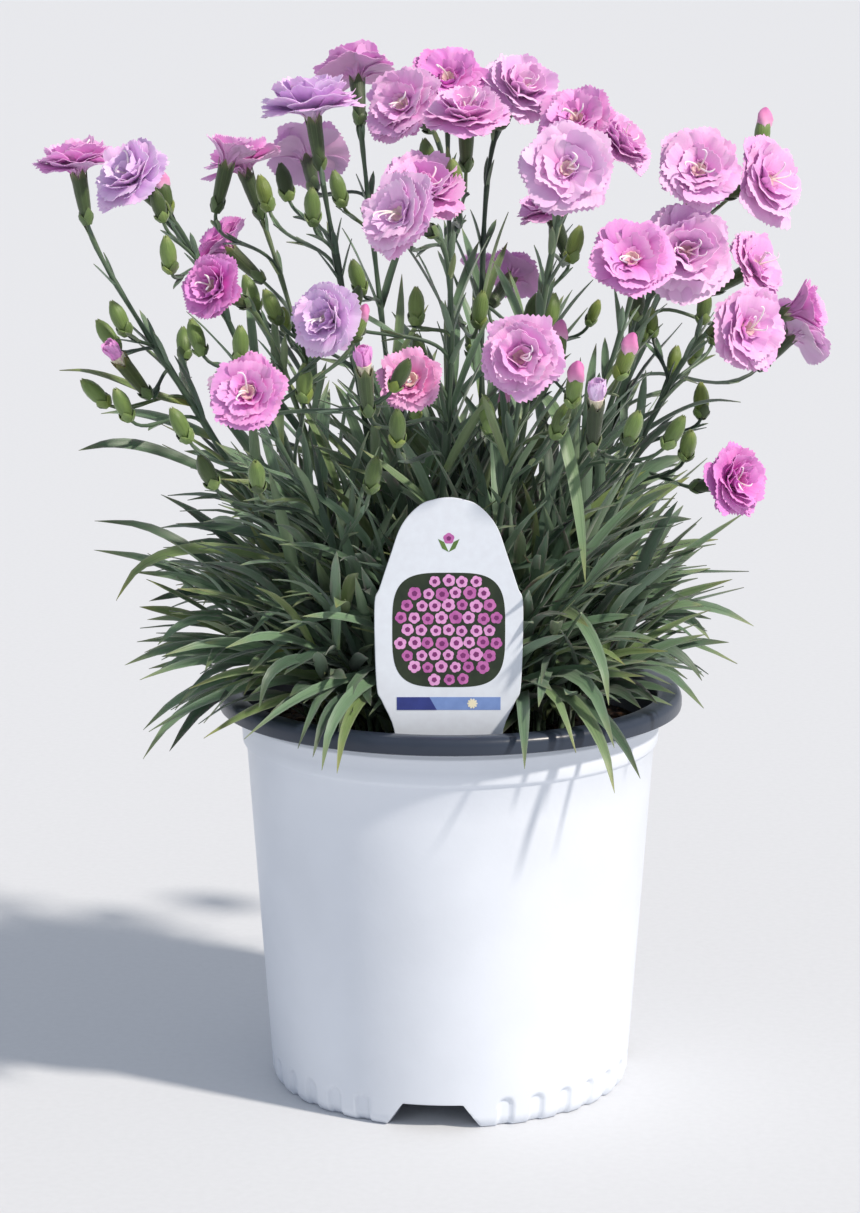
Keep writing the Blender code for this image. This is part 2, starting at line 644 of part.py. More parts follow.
def main():
    for thing in list(bpy.data.objects):
        bpy.data.objects.remove(thing)
    pot_white = paint("pot_white", (0.80, 0.82, 0.84), 0.35)
    soil_brown = paint("potting_soil", (0.035, 0.024, 0.017), 0.95)
    label_white = paint("label_white", (0.85, 0.86, 0.87), 0.3)
    leaf_green = paint("leaf_green", (0.09, 0.16, 0.085), 0.55)
    petal_pink = paint("petal_pink", (0.72, 0.30, 0.60), 0.6)

    pot = build_pot(pot_white)
    soil = build_soil(soil_brown, [spray.root for spray in SPRAYS])
    label = as_object("label", label_shape(), bpy.context.scene.collection)
    finish(label, label_white)
    bpy.context.view_layer.update()
    graph = bpy.context.evaluated_depsgraph_get()
    ground = [BVHTree.FromObject(piece, graph) for piece in (pot, soil, label)]

    stems = [grow_stem(spray) for spray in SPRAYS]
    stem_trees = [[shape.tree() for shape in stem.shapes] for stem in stems]
    greens = [tree for trees in stem_trees for tree in trees]
    flower_trees, number = [], 0
    for stem in stems:
        for head, mouth, faces_to in stem.flowers:
            number += 1
            chance = random.Random(SEED + number)
            shapes = grow_flower(head, mouth, faces_to, chance, ground + greens + flower_trees)
            flower_trees += [shape.tree() for shape in shapes]
            grown(f"flower_{number:02d}", shapes, petal_pink)
    leaf_trees = [[] for _ in SPRAYS]
    for index, (spray, stem) in enumerate(zip(SPRAYS, stems)):
        others = ground + flower_trees
        for other in range(len(SPRAYS)):
            if other != index:
                others = others + stem_trees[other] + leaf_trees[other]
        leaves = grow_leaves(spray, stem, random.Random(SEED * 7 + index), others)
        leaf_trees[index] = [leaf.tree() for leaf in leaves]
        grown(f"spray_{index + 1:02d}", stem.shapes + leaves, leaf_green)


main()
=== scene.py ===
"""The look of a flowering dianthus plant in its round nursery pot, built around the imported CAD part.

Every size is in millimetres and every angle in degrees until a function turns it into metres or radians.
The layout repeats the rule, the sizes and the random draws that the CAD sprays grow by, so each fine stem,
flower, bud and leaf stands where its solid does. The pot's axis is Z and the label's side, the front, is -Y.
"""

from __future__ import annotations

import logging
import math
import random
from collections.abc import Iterator, Sequence
from dataclasses import dataclass, field, replace
from enum import Enum

import bmesh
import bpy
import numpy as np
from mathutils import Matrix, Vector, noise
from mathutils.bvhtree import BVHTree

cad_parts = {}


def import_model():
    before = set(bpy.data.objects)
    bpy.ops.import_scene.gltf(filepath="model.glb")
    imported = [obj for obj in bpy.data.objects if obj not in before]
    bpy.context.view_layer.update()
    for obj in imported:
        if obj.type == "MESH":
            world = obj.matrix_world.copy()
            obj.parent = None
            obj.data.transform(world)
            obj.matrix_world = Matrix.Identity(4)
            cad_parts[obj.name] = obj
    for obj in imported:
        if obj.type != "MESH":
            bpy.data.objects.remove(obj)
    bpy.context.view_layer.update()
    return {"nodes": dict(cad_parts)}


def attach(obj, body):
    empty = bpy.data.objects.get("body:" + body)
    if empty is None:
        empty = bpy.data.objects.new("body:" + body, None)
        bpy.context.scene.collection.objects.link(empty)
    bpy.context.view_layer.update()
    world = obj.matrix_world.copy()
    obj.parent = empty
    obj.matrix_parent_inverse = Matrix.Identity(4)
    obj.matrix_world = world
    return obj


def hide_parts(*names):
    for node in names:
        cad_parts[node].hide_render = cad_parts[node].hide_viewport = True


LOG = logging.getLogger("dianthus")
BODY = "root"
SEED = 41
MM = 0.001
Tree = bpy.types.NodeTree
Socket = bpy.types.NodeSocket


# ---- measures


def place(x: float, y: float, z: float) -> Vector:
    """A point given in millimetres."""
    return Vector((x * MM, y * MM, z * MM))


def heading(turn: float, tilt: float) -> Vector:
    """The direction that leans tilt degrees from straight up, towards turn."""
    turn, tilt = math.radians(turn), math.radians(tilt)
    return Vector((math.cos(turn) * math.sin(tilt), math.sin(turn) * math.sin(tilt), math.cos(tilt)))


def bezier(start: Vector, leave: Vector, end: Vector, arrive: Vector, steps: int) -> list[Vector]:
    """Points along a smooth curve.

    Args:
        start: the first point.
        leave: the vector along which the curve leaves it.
        end: the last point.
        arrive: the vector along which the curve arrives.
        steps: how many lengths the curve is cut into.

    Returns:
        The points, one more than the steps.
    """
    points = []
    for step in range(steps + 1):
        t = step / steps
        points.append(
            start * (1 - t) ** 3 + (start + leave) * (3 * t * (1 - t) ** 2)
            + (end - arrive) * (3 * t * t * (1 - t)) + end * t ** 3
        )
    return points


def on_path(path: Sequence[Vector], spot: float) -> tuple[Vector, Vector]:
    """The point of a path that is this many of its steps from its start, and the path's direction there."""
    below = min(int(spot), len(path) - 2)
    return path[below].lerp(path[below + 1], spot - below), (path[below + 1] - path[below]).normalized()


def smooth_path(points: Sequence[Vector], count: int) -> np.ndarray:
    """Evenly counted points of the smooth curve that passes through the given ones.

    Args:
        points: what the curve passes through, two or more.
        count: how many points come back.

    Returns:
        An array of count by 3.
    """
    given = np.array([tuple(point) for point in points])
    ends = np.vstack([2 * given[0] - given[1], given, 2 * given[-1] - given[-2]])
    result = []
    for t in np.linspace(0, len(given) - 1, count):
        low = min(int(t), len(given) - 2)
        a, b, c, d = ends[low:low + 4]
        f = t - low
        bend, swing = 2 * a - 5 * b + 4 * c - d, 3 * b - a - 3 * c + d
        result.append(0.5 * (2 * b + (c - a) * f + bend * f ** 2 + swing * f ** 3))
    return np.array(result)


def ramp(values: np.ndarray | float, low: float, high: float) -> np.ndarray | float:
    """A soft step from 0 at low to 1 at high."""
    share = np.clip((values - low) / (high - low), 0.0, 1.0)
    return share * share * (3 - 2 * share)


def turns(count: int) -> np.ndarray:
    """Angles evenly spaced round a full turn."""
    return np.linspace(0, math.tau, count, endpoint=False)


def ring(radius: np.ndarray | float, angles: np.ndarray, height: np.ndarray | float) -> np.ndarray:
    """Points round Z, with one radius and height or one each."""
    return np.column_stack([radius * np.cos(angles), radius * np.sin(angles), height + 0 * angles])


def placed(name: str, data: bpy.types.ID) -> bpy.types.Object:
    """A new object of this data, in the scene."""
    thing = bpy.data.objects.new(name, data)
    bpy.context.scene.collection.objects.link(thing)
    return thing


def frame_at(foot: Vector, axis: Vector, spin: float = 0.0) -> Matrix:
    """The frame that stands on foot with its Z along axis, turned by spin radians."""
    stand = Matrix.Translation(foot) @ axis.to_track_quat("Z", "Y").to_matrix().to_4x4()
    return stand @ Matrix.Rotation(spin, 4, "Z")


# ---- materials


def linear(code: str) -> tuple[float, float, float, float]:
    """The linear colour of an sRGB hex value such as "e0b2da"."""
    parts = [int(code[index:index + 2], 16) / 255 for index in (0, 2, 4)]
    return (*(part / 12.92 if part <= 0.04045 else ((part + 0.055) / 1.055) ** 2.4 for part in parts), 1.0)


def add_node(tree: Tree, kind: str, links: dict, out: int | str = 0,
             stops: Sequence[tuple[float, str]] = (), **settings: object) -> Socket:
    """Add one node to a material.

    Args:
        tree: the material's node tree.
        kind: the node's type name after its first word, ShaderNode.
        links: for each input, by name or number, the socket that feeds it or the value that it is set to.
        out: which of its outputs comes back.
        stops: for a colour ramp, where each colour is and its sRGB hex value.
        settings: the node's own properties.

    Returns:
        The output's socket.
    """
    node = tree.nodes.new("ShaderNode" + kind)
    for name, value in settings.items():
        setattr(node, name, value)
    for number, (spot, code) in enumerate(stops):
        stripes = node.color_ramp.elements
        stripe = stripes[number] if number < len(stripes) else stripes.new(spot)
        stripe.position, stripe.color = spot, linear(code)
    for name, value in links.items():
        if isinstance(value, Socket):
            tree.links.new(value, node.inputs[name])
        else:
            node.inputs[name].default_value = value
    return node.outputs[out]


class Mark(Enum):
    """What each point of a mesh tells its material."""

    ALONG = "along"         # 0 where it grows from, 1 at its tip
    ACROSS = "across"       # from -1 at one edge to 1 at the other
    HUE = "hue"             # one draw from 0 to 1 for each petal, leaf or bud
    UNDER = "under"         # 1 on an underside

    def read(self, tree: Tree) -> Socket:
        """The mark's value as a socket of a material."""
        return add_node(tree, "Attribute", {}, "Fac", attribute_name=self.value)


Marks = dict[Mark, np.ndarray | float]              # a value for each point of a mesh, or one for all of them
HUE_STRIDE = 40.0                                   # keeps the streaks of leaves and petals with unlike hues apart
FIRST, SECOND = 6, 7                                # the two colours that go into a Mix node
BLENDED = {"out": 2, "data_type": "RGBA"}           # a Mix node that lays the second over the first
TINTED = {**BLENDED, "blend_type": "MULTIPLY"}      # one that multiplies them


@dataclass(frozen=True)
class Finish:
    """What every finish has: its name, the values that are the same all over it, and its patterns."""

    name: str
    roughness: float = 0.5
    ior: float = 1.45
    subsurface: float = 0.0
    subsurface_mm: float = 1.0
    sheen: float = 0.0

    def grains(self, tree: Tree, size_mm: float, detail: float = 3.0) -> Socket:
        """Noise from 0 to 1 in the object's own space, whose grains are size_mm across."""
        spot = add_node(tree, "TexCoord", {}, "Object")
        return add_node(tree, "TexNoise", {"Vector": spot, "Scale": 1 / (size_mm * MM), "Detail": detail})

    def streaks(self, tree: Tree, across: float, along: float) -> Socket:
        """Noise from 0 to 1 drawn out along a leaf or petal, other on each one.

        Args:
            tree: the material's node tree.
            across: how many streaks lie side by side over its half width.
            along: how often they change on its length.

        Returns:
            The noise's socket.
        """
        parts = {}
        for axis, name, scale in (("X", Mark.ACROSS, across), ("Y", Mark.ALONG, along), ("Z", Mark.HUE, HUE_STRIDE)):
            parts[axis] = add_node(tree, "Math", {0: name.read(tree), 1: scale}, operation="MULTIPLY")
        spot = add_node(tree, "CombineXYZ", parts)
        return add_node(tree, "TexNoise", {"Vector": spot, "Scale": 1.0, "Detail": 2.0})

    def colour(self, tree: Tree) -> Socket:
        """The colour's socket."""
        raise NotImplementedError

    def relief(self, tree: Tree) -> tuple[Socket, float] | None:
        """The height of the surface's relief and its depth in millimetres, or None where it is smooth."""
        return None

    def made(self) -> bpy.types.Material:
        """The Blender material."""
        material = bpy.data.materials.new(self.name)
        material.use_nodes = True
        tree = material.node_tree
        shader = tree.nodes["Principled BSDF"].inputs
        values = {
            "Roughness": self.roughness, "IOR": self.ior, "Sheen Weight": self.sheen,
            "Subsurface Weight": self.subsurface, "Subsurface Radius": (1.0, 0.6, 0.85),
            "Subsurface Scale": self.subsurface_mm * MM,
        }
        for name, value in values.items():
            shader[name].default_value = value
        tree.links.new(self.colour(tree), shader["Base Color"])
        relief = self.relief(tree)
        if relief:
            bump = add_node(tree, "Bump", {"Height": relief[0], "Distance": relief[1] * MM})
            tree.links.new(bump, shader["Normal"])
        return material


@dataclass(frozen=True)
class PetalFinish(Finish):
    """Petal tissue, grown: a thin moist skin over air-filled cells, so it is soft, a little see-through and veined."""

    throat: str = "f0e6c8"
    heart: str = "e28ad2"
    body: str = "f3b0e6"
    edge: str = "f4c0ea"
    back: str = "ecb8e8"
    roughness: float = 0.62
    subsurface: float = 0.25
    subsurface_mm: float = 1.0
    sheen: float = 0.1
    vein_contrast: float = 0.34
    vein_depth: float = 0.07
    back_share: float = 0.65

    def colour(self, tree: Tree) -> Socket:
        """Pale at the claw, deepest low on the limb, palest at the toothed edge, with veins and duller backs."""
        vein = add_node(tree, "Math", {0: self.streaks(tree, 11.0, 1.6), 1: 0.5}, operation="SUBTRACT")
        links = {0: vein, 1: self.vein_contrast, 2: Mark.ALONG.read(tree)}
        spot = add_node(tree, "Math", links, operation="MULTIPLY_ADD")
        stops = ((0.1, self.throat), (0.3, self.heart), (0.6, self.body), (0.98, self.edge))
        front = add_node(tree, "ValToRGB", {"Fac": spot}, stops=stops)
        under = add_node(tree, "Math", {0: Mark.UNDER.read(tree), 1: self.back_share}, operation="MULTIPLY")
        shade = add_node(tree, "Mix", {0: under, FIRST: front, SECOND: linear(self.back)}, **BLENDED)
        stops = ((0.0, "efe6f5"), (0.35, "faf6fc"), (0.75, "ffffff"), (1.0, "ffeaf7"))
        each = add_node(tree, "ValToRGB", {"Fac": Mark.HUE.read(tree)}, stops=stops)
        return add_node(tree, "Mix", {0: 1.0, FIRST: shade, SECOND: each}, **TINTED)

    def relief(self, tree: Tree) -> tuple[Socket, float] | None:
        """Fine veins that run out to the teeth, about 0.6 mm apart."""
        return self.streaks(tree, 15.0, 1.2), self.vein_depth


@dataclass(frozen=True)
class LeafFinish(Finish):
    """A grown leaf or stem under a waxy bloom, which turns its green to blue-grey and softens its gloss."""

    base: str = "97a566"
    blade: str = "6d8a6c"
    tip: str = "8a9468"
    under: str = "859c85"
    dull: str = "809192"
    fresh: str = "fff2b8"
    roughness: float = 0.42
    subsurface: float = 0.15
    subsurface_mm: float = 0.8
    sheen: float = 0.2
    streak_share: float = 0.7
    margin_share: float = 0.45      # how far the outer part of the blade turns to the underside's paler green
    vein_depth: float = 0.12

    def colour(self, tree: Tree) -> Socket:
        """Yellow-green where it clasps the stem, blue-green along the blade, with pale streaks and margins."""
        stops = ((0.0, self.base), (0.15, self.blade), (0.84, self.blade), (1.0, self.tip))
        shade = add_node(tree, "ValToRGB", {"Fac": Mark.ALONG.read(tree)}, stops=stops)
        stops = ((0.3, "bcc6bc"), (0.5, "ffffff"), (0.72, "fffff0"))
        line = add_node(tree, "ValToRGB", {"Fac": self.streaks(tree, 4.0, 3.0)}, stops=stops)
        shade = add_node(tree, "Mix", {0: self.streak_share, FIRST: shade, SECOND: line}, **TINTED)
        margin = add_node(tree, "Math", {0: Mark.ACROSS.read(tree)}, operation="ABSOLUTE")
        links = {"Value": margin, "From Min": 0.7, "From Max": 1.0, "To Min": 0.0, "To Max": self.margin_share}
        margin = add_node(tree, "MapRange", links)
        pale = add_node(tree, "Math", {0: margin, 1: Mark.UNDER.read(tree)}, operation="MAXIMUM")
        shade = add_node(tree, "Mix", {0: pale, FIRST: shade, SECOND: linear(self.under)}, **BLENDED)
        stops = ((0.0, self.dull), (0.4, "ecf0ec"), (0.7, "ffffff"), (1.0, self.fresh))
        each = add_node(tree, "ValToRGB", {"Fac": Mark.HUE.read(tree)}, stops=stops)
        return add_node(tree, "Mix", {0: 1.0, FIRST: shade, SECOND: each}, **TINTED)

    def relief(self, tree: Tree) -> tuple[Socket, float] | None:
        """Veins that run side by side along the leaf, 0.4 mm apart."""
        return self.streaks(tree, 7.0, 1.0), self.vein_depth


@dataclass(frozen=True)
class MottledFinish(Finish):
    """A finish mottled by noise between two colours, with a relief where it has a depth."""

    low: str = "f4f4f4"     # the colour where the noise is low
    high: str = "ffffff"
    spread: tuple[float, float] = (0.3, 0.7)    # where on the noise the two colours are
    grain_mm: float = 3.0
    detail: float = 3.0
    relief_mm: float = 1.0
    relief_detail: float = 1.0
    depth: float = 0.0

    def colour(self, tree: Tree) -> Socket:
        """The mottle."""
        stops = ((self.spread[0], self.low), (self.spread[1], self.high))
        return add_node(tree, "ValToRGB", {"Fac": self.grains(tree, self.grain_mm, self.detail)}, stops=stops)

    def relief(self, tree: Tree) -> tuple[Socket, float] | None:
        """Even bumps, relief_mm across."""
        return (self.grains(tree, self.relief_mm, self.relief_detail), self.depth) if self.depth else None


@dataclass(frozen=True)
class MouldedFinish(MottledFinish):
    """Polypropylene sheet, vacuum formed: a half-glossy skin with the faint orange peel that the cooling sheet takes
    from the mould, under a film of dust that is barely seen, as it changes over 60 mm."""

    low: str = "dae0ea"
    high: str = "e2e8f2"
    spread: tuple[float, float] = (0.38, 0.62)
    grain_mm: float = 60.0
    detail: float = 4.0
    relief_mm: float = 2.2
    depth: float = 0.03


@dataclass(frozen=True)
class GrainFinish(MottledFinish):
    """Peat, bark or perlite, broken: dull, rough grains of several shades."""

    low: str = "17110d"
    high: str = "4a3828"
    spread: tuple[float, float] = (0.35, 0.7)
    grain_mm: float = 2.4
    detail: float = 6.0
    relief_mm: float = 1.2
    relief_detail: float = 6.0
    depth: float = 0.8


@dataclass(frozen=True)
class InkFinish(MottledFinish):
    """Offset ink or bare card of smooth polystyrene: even, with a faint mottle 3 mm across where the film is thin."""

    roughness: float = 0.3


class Tint(Enum):
    """The petal colours that one plant shows side by side, from a bud just open to a flower that fades."""

    ROSE = PetalFinish("petal_rose")
    PALE = PetalFinish("petal_pale", heart="eca8e0", body="f5c1ed", edge="f7ccf1", back="efc8ef")
    LAVENDER = PetalFinish("petal_lavender", heart="dcb2e6", body="ecc8f2", edge="f2d4f8", back="e9ccf4")
    DEEP = PetalFinish("petal_deep", heart="d560bc", body="f096de", edge="f6b2e8", back="e49adc")
    MAGENTA = PetalFinish("petal_magenta", heart="b646a6", body="e382d2", edge="ee9fe0", back="d886d0")
    SALMON = PetalFinish("petal_salmon", heart="dc6aa8", body="f09ad0", edge="f6b4de", back="e4a2d0")


# ---- layout


class Kind(Enum):
    """How far a head has opened."""

    BLOOM = "bloom"
    WIDE = "wide"           # a bloom whose petals lie open
    HALF = "half"
    TIP = "tip"             # a bud that shows its petals
    BUD = "bud"


@dataclass(frozen=True)
class Head:
    """One flower head: what it is, where its heart is, where it looks, how wide it is and where its stalk starts."""

    kind: Kind
    heart: tuple[float, float, float]
    turn: float
    tilt: float
    width: float
    leaves_stem: float = 1.0
    tint: Tint = Tint.ROSE
    pink: bool = False      # a closed bud whose tip shows colour


def bloom(x: float, y: float, z: float, turn: float, tilt: float, width: float, leaves_stem: float = 1.0,
          tint: Tint = Tint.ROSE) -> Head:
    """An open flower."""
    return Head(Kind.BLOOM, (x, y, z), turn, tilt, width, leaves_stem, tint)


def half(x: float, y: float, z: float, turn: float, tilt: float, width: float, leaves_stem: float = 1.0,
         tint: Tint = Tint.ROSE) -> Head:
    """A flower half open."""
    return Head(Kind.HALF, (x, y, z), turn, tilt, width, leaves_stem, tint)


def tip(x: float, y: float, z: float, turn: float, tilt: float, leaves_stem: float, tint: Tint = Tint.DEEP) -> Head:
    """A bud that shows its rolled petals."""
    return Head(Kind.TIP, (x, y, z), turn, tilt, 10.5, leaves_stem, tint)


def bud(x: float, y: float, z: float, turn: float, tilt: float, leaves_stem: float, pink: bool = False) -> Head:
    """A closed bud."""
    return Head(Kind.BUD, (x, y, z), turn, tilt, 6.2, leaves_stem, Tint.ROSE, pink)


@dataclass(frozen=True)
class Spray:
    """One stem out of the soil: its first head ends it, the others branch off, and some leaves hang over the rim."""

    root: tuple[float, float]
    heads: tuple[Head, ...]
    draped: tuple[tuple[float, float, float, float], ...] = ()


SPRAYS = (
    Spray((-44, 1), (
        bloom(-130, 0, 330, 180, 9, 28), tip(-116, -20, 265, 215, 40, 0.62), bud(-115, -10, 276, 190, 25, 0.66),
        bud(-121, 8, 268, 170, 35, 0.66), bud(-124, -10, 250, 195, 45, 0.56), bud(-113, -26, 248, 225, 30, 0.52),
    ), ((172, 46, 92, 76),)),
    Spray((-38, -11), (
        bloom(-109, -32, 327, 225, 50, 28, 1.0, Tint.LAVENDER), bud(-99, -8, 318, 160, 12, 0.82, True),
        bud(-95, -44, 301, 250, 18, 0.78),
    ), ((205, 48, 122, 80),)),
    Spray((-30, 14), (
        bloom(-76, 54, 327, 170, 20, 28), half(-77, 13, 334, 350, 14, 17, 0.8),
        bloom(-85, 79, 295, 160, 50, 24, 0.66, Tint.DEEP), bloom(-77, 82, 241, 105, 60, 27, 0.4, Tint.PALE),
        bud(-71, 20, 282, 180, 20, 0.62),
    )),
    Spray((-19, -3), (
        bloom(-48, -15, 351, 185, 8, 34, 1.0, Tint.LAVENDER), bud(-58, 5, 322, 160, 14, 0.78),
        bud(-47, -31, 316, 260, 12, 0.76), bud(-66, 23, 317, 150, 18, 0.72), bud(-62, -10, 280, 190, 24, 0.55),
    )),
    Spray((-14, 24), (
        bloom(-34, 58, 360, 100, 25, 28), bloom(-53, 82, 328, 100, 55, 28, 0.78, Tint.PALE),
        bud(-40, 31, 318, 190, 14, 0.72), bud(-33, 15, 288, 220, 20, 0.6),
    ), ((115, 48, 108, 78),)),
    Spray((-5, 10), (
        bloom(-18, -3, 350, 235, 62, 28), bloom(-9, -38, 323, 290, 36, 30, 0.66),
    )),
    Spray((2, 6), (
        bloom(-1, 31, 358, 270, 48, 26, 1.0, Tint.MAGENTA), bloom(5, -28, 348, 270, 25, 28, 0.64),
        bud(-8, 38, 329, 200, 14, 0.8), bud(1, -35, 326, 230, 14, 0.66), bud(10, -18, 280, 300, 16, 0.56),
    )),
    Spray((13, 13), (
        bloom(26, 36, 354, 300, 48, 30, 1.0, Tint.PALE), half(12, 74, 287, 80, 30, 15, 0.6),
        bud(29, 15, 276, 320, 20, 0.58),
    )),
    Spray((15, -13), (
        bloom(38, -59, 331, 270, 74, 31, 1.0, Tint.PALE), bud(35, -8, 278, 60, 16, 0.62),
        bud(43, -3, 301, 20, 18, 0.74),
    )),
    Spray((21, 27), (
        bloom(63, 60, 333, 330, 50, 26), bloom(44, 20, 344, 255, 55, 26, 0.76, Tint.DEEP),
        bloom(36, 56, 310, 200, 22, 25, 0.66), bloom(24, 82, 283, 60, 60, 21, 0.5),
        bloom(27, 82, 249, 90, 62, 27, 0.34, Tint.LAVENDER),
    ), ((60, 48, 108, 78),)),
    Spray((31, -3), (
        bloom(84, -28, 329, 275, 62, 29), bloom(80, -31, 301, 280, 76, 33, 0.8, Tint.PALE),
        bud(66, 10, 272, 150, 20, 0.62),
    )),
    Spray((38, 8), (
        bloom(111, -8, 324, 318, 72, 30), bloom(111, 33, 291, 330, 60, 27, 0.72),
        half(127, 13, 278, 345, 70, 21, 0.64, Tint.DEEP), bloom(130, 72, 264, 25, 50, 29, 0.5, Tint.PALE),
        bud(111, 33, 337, 60, 16, 0.86, True),
    ), ((352, 48, 100, 76),)),
    Spray((40, -13), (
        bloom(103, -26, 274, 305, 82, 29), bloom(97, -44, 224, 310, 78, 25, 0.5, Tint.MAGENTA),
        bud(88, 0, 246, 90, 26, 0.56), bud(81, -33, 235, 280, 34, 0.46),
    ), ((318, 50, 118, 76),)),
    Spray((24, -22), (
        bloom(59, -64, 302, 265, 56, 27, 1.0, Tint.DEEP), tip(47, -84, 259, 275, 24, 0.56, Tint.LAVENDER),
        bud(57, -67, 268, 330, 20, 0.62, True), bud(59, -84, 248, 300, 30, 0.5), bud(75, -51, 242, 330, 32, 0.48),
    ), ((296, 52, 150, 84), (316, 50, 120, 76))),
    Spray((9, -30), (
        bloom(22, -82, 271, 265, 74, 27), bud(40, -77, 260, 290, 20, 0.6, True),
        bud(36, -41, 269, 60, 14, 0.66, True), bud(36, -67, 248, 320, 24, 0.52), bud(12, -44, 247, 120, 18, 0.6),
    ), ((303, 52, 152, 80),)),
    Spray((-8, -22), (
        bloom(-19, -69, 317, 230, 68, 29, 1.0, Tint.PALE), bloom(-14, -61, 261, 265, 68, 21, 0.52, Tint.SALMON),
        bloom(-42, -69, 282, 235, 74, 24, 0.62, Tint.LAVENDER), tip(-29, -82, 270, 260, 24, 0.5),
        bud(-18, -84, 248, 270, 18, 0.44), bud(-12, -28, 282, 90, 12, 0.68),
    ), ((236, 54, 140, 84),)),
    Spray((-22, -26), (
        bloom(-67, -84, 260, 260, 64, 25, 1.0, Tint.DEEP), bud(-64, -84, 232, 265, 34, 0.56),
        bud(-81, -74, 232, 225, 30, 0.52), bud(-49, -64, 260, 90, 14, 0.66),
        bud(-91, -56, 245, 200, 28, 0.6), bud(-26, -74, 231, 300, 20, 0.4),
    ), ((248, 52, 150, 78),)),
    Spray((-31, -17), (
        bloom(-81, -41, 290, 235, 68, 22, 1.0, Tint.MAGENTA), bud(-88, -15, 270, 170, 18, 0.68),
        bud(-71, -46, 271, 270, 14, 0.72),
    ), ((222, 48, 128, 80),)),
)

# Small late buds between the others, which have no solid of their own.
LATE_BUDS = (
    (18, -30, 246), (71, 10, 272), (64, -20, 281), (88, -6, 279), (94, 10, 270), (79, 10, 258), (-17, -77, 264),
    (-13, -30, 248), (-11, -36, 268), (-32, -64, 287), (-31, -60, 278), (-59, 20, 272), (-99, -30, 316),
    (-52, 40, 268), (52, 44, 272), (8, 52, 262), (90, 48, 258), (-96, 34, 262),
)


@dataclass(frozen=True)
class Arch:
    """One clearly seen leaf: its spray, where on the stem it starts, its tip, its climb there and how it hangs."""

    spray: int
    share: float
    tip: tuple[float, float, float]
    climb: float
    hang: float
    swing: float = 0.0      # degrees by which it leaves aside of its tip's direction, and comes back
    width: float = 4.6


ARCHES = tuple(Arch(*row) for row in (
    (1, 0.1, (-126, 0, 203), 38, 4), (2, 0.1, (-125, -14, 195), 32, -4), (18, 0.28, (-116, -30, 180), 34, 70),
    (18, 0.12, (-111, -24, 189), 30, 0), (1, 0.06, (-109, 12, 165), 34, 12), (1, 0.04, (-111, -8, 161), 30, 8),
    (2, 0.06, (-113, -34, 158), 30, 26), (18, 0.05, (-107, -44, 155), 36, 22), (2, 0.03, (-107, -34, 135), 42, 48),
    (18, 0.03, (-106, -48, 128), 46, 62), (17, 0.06, (-103, -58, 140), 38, 28), (17, 0.04, (-83, -76, 142), 34, 22),
    (16, 0.06, (-69, -86, 144), 36, 34, 12), (17, 0.08, (-64, -84, 154), 46, 84), (17, 0.02, (-46, -91, 139), 44, 62),
    (16, 0.05, (-43, -93, 135), 48, 84), (16, 0.04, (-38, -93, 134), 42, 66, -14),
    (17, 0.12, (-75, -82, 174), 30, 14), (18, 0.08, (-97, -60, 167), 32, 14), (17, 0.05, (-88, -72, 158), 34, 18),
    (14, 0.04, (24, -91, 135), 44, 66), (14, 0.05, (54, -88, 126), 46, 74), (14, 0.03, (63, -80, 129), 44, 56),
    (13, 0.03, (76, -44, 146), 24, 14), (13, 0.16, (88, -22, 150), 36, 64), (12, 0.14, (93, 4, 159), 40, 60),
    (13, 0.07, (98, -14, 162), 26, 6), (12, 0.12, (108, 0, 165), 32, 34), (12, 0.1, (100, 0, 182), 34, -16),
    (12, 0.2, (96, 14, 194), 30, -2), (13, 0.14, (88, -10, 206), 44, -42), (14, 0.22, (52, -84, 155), 52, 86),
    (12, 0.42, (100, -20, 248), 26, 6), (13, 0.04, (78, -30, 147), 30, 20), (14, 0.12, (70, -60, 172), 34, 8),
    (1, 0.56, (-135, -20, 259), 12, 2), (1, 0.42, (-129, -20, 231), 22, 18), (1, 0.5, (-124, 10, 240), 20, 10),
    (14, 0.16, (63, -70, 201), 44, -6), (17, 0.16, (-37, -80, 203), 50, 10), (9, 0.5, (45, -60, 192), 30, 82),
))


@dataclass(frozen=True)
class Solid:
    """A coarse closed solid of the layout, as the CAD source makes it: points in metres and faces."""

    points: list[Vector]
    faces: list[tuple[int, ...]]

    def moved(self, matrix: Matrix) -> Solid:
        """The same solid in another place."""
        return Solid([matrix @ point for point in self.points], self.faces)

    def tree(self) -> BVHTree:
        """Its surface, for tests of what touches it."""
        return BVHTree.FromPolygons(self.points, self.faces)

    def beyond(self, centre: Vector, reach: float) -> Solid:
        """The same solid with every point at least reach from the centre."""
        points = []
        for point in self.points:
            away = point - centre
            points.append(point if away.length > reach else centre + away.normalized() * reach)
        return Solid(points, self.faces)


def hull(rings: int, sides: int, pointed: bool = False) -> list[tuple[int, ...]]:
    """The faces of a closed skin over rings of points.

    Args:
        rings: how many rings there are.
        sides: how many points each of them has.
        pointed: whether one more point ends it, and not a face over the last ring.

    Returns:
        The faces, as numbers of those points.
    """
    edges = [(side, (side + 1) % sides) for side in range(sides)]
    last = (rings - 1) * sides
    faces = [tuple(reversed(range(sides)))]
    for low in range(0, last, sides):
        faces += [(low + a, low + b, low + sides + b, low + sides + a) for a, b in edges]
    if pointed:
        return faces + [(last + a, last + b, last + sides) for a, b in edges]
    return faces + [tuple(range(last, last + sides))]


def touches(solid: Solid, trees: Sequence[BVHTree]) -> bool:
    """Whether the solid's surface meets one of the others."""
    tree = solid.tree()
    return any(tree.overlap(other) for other in trees)


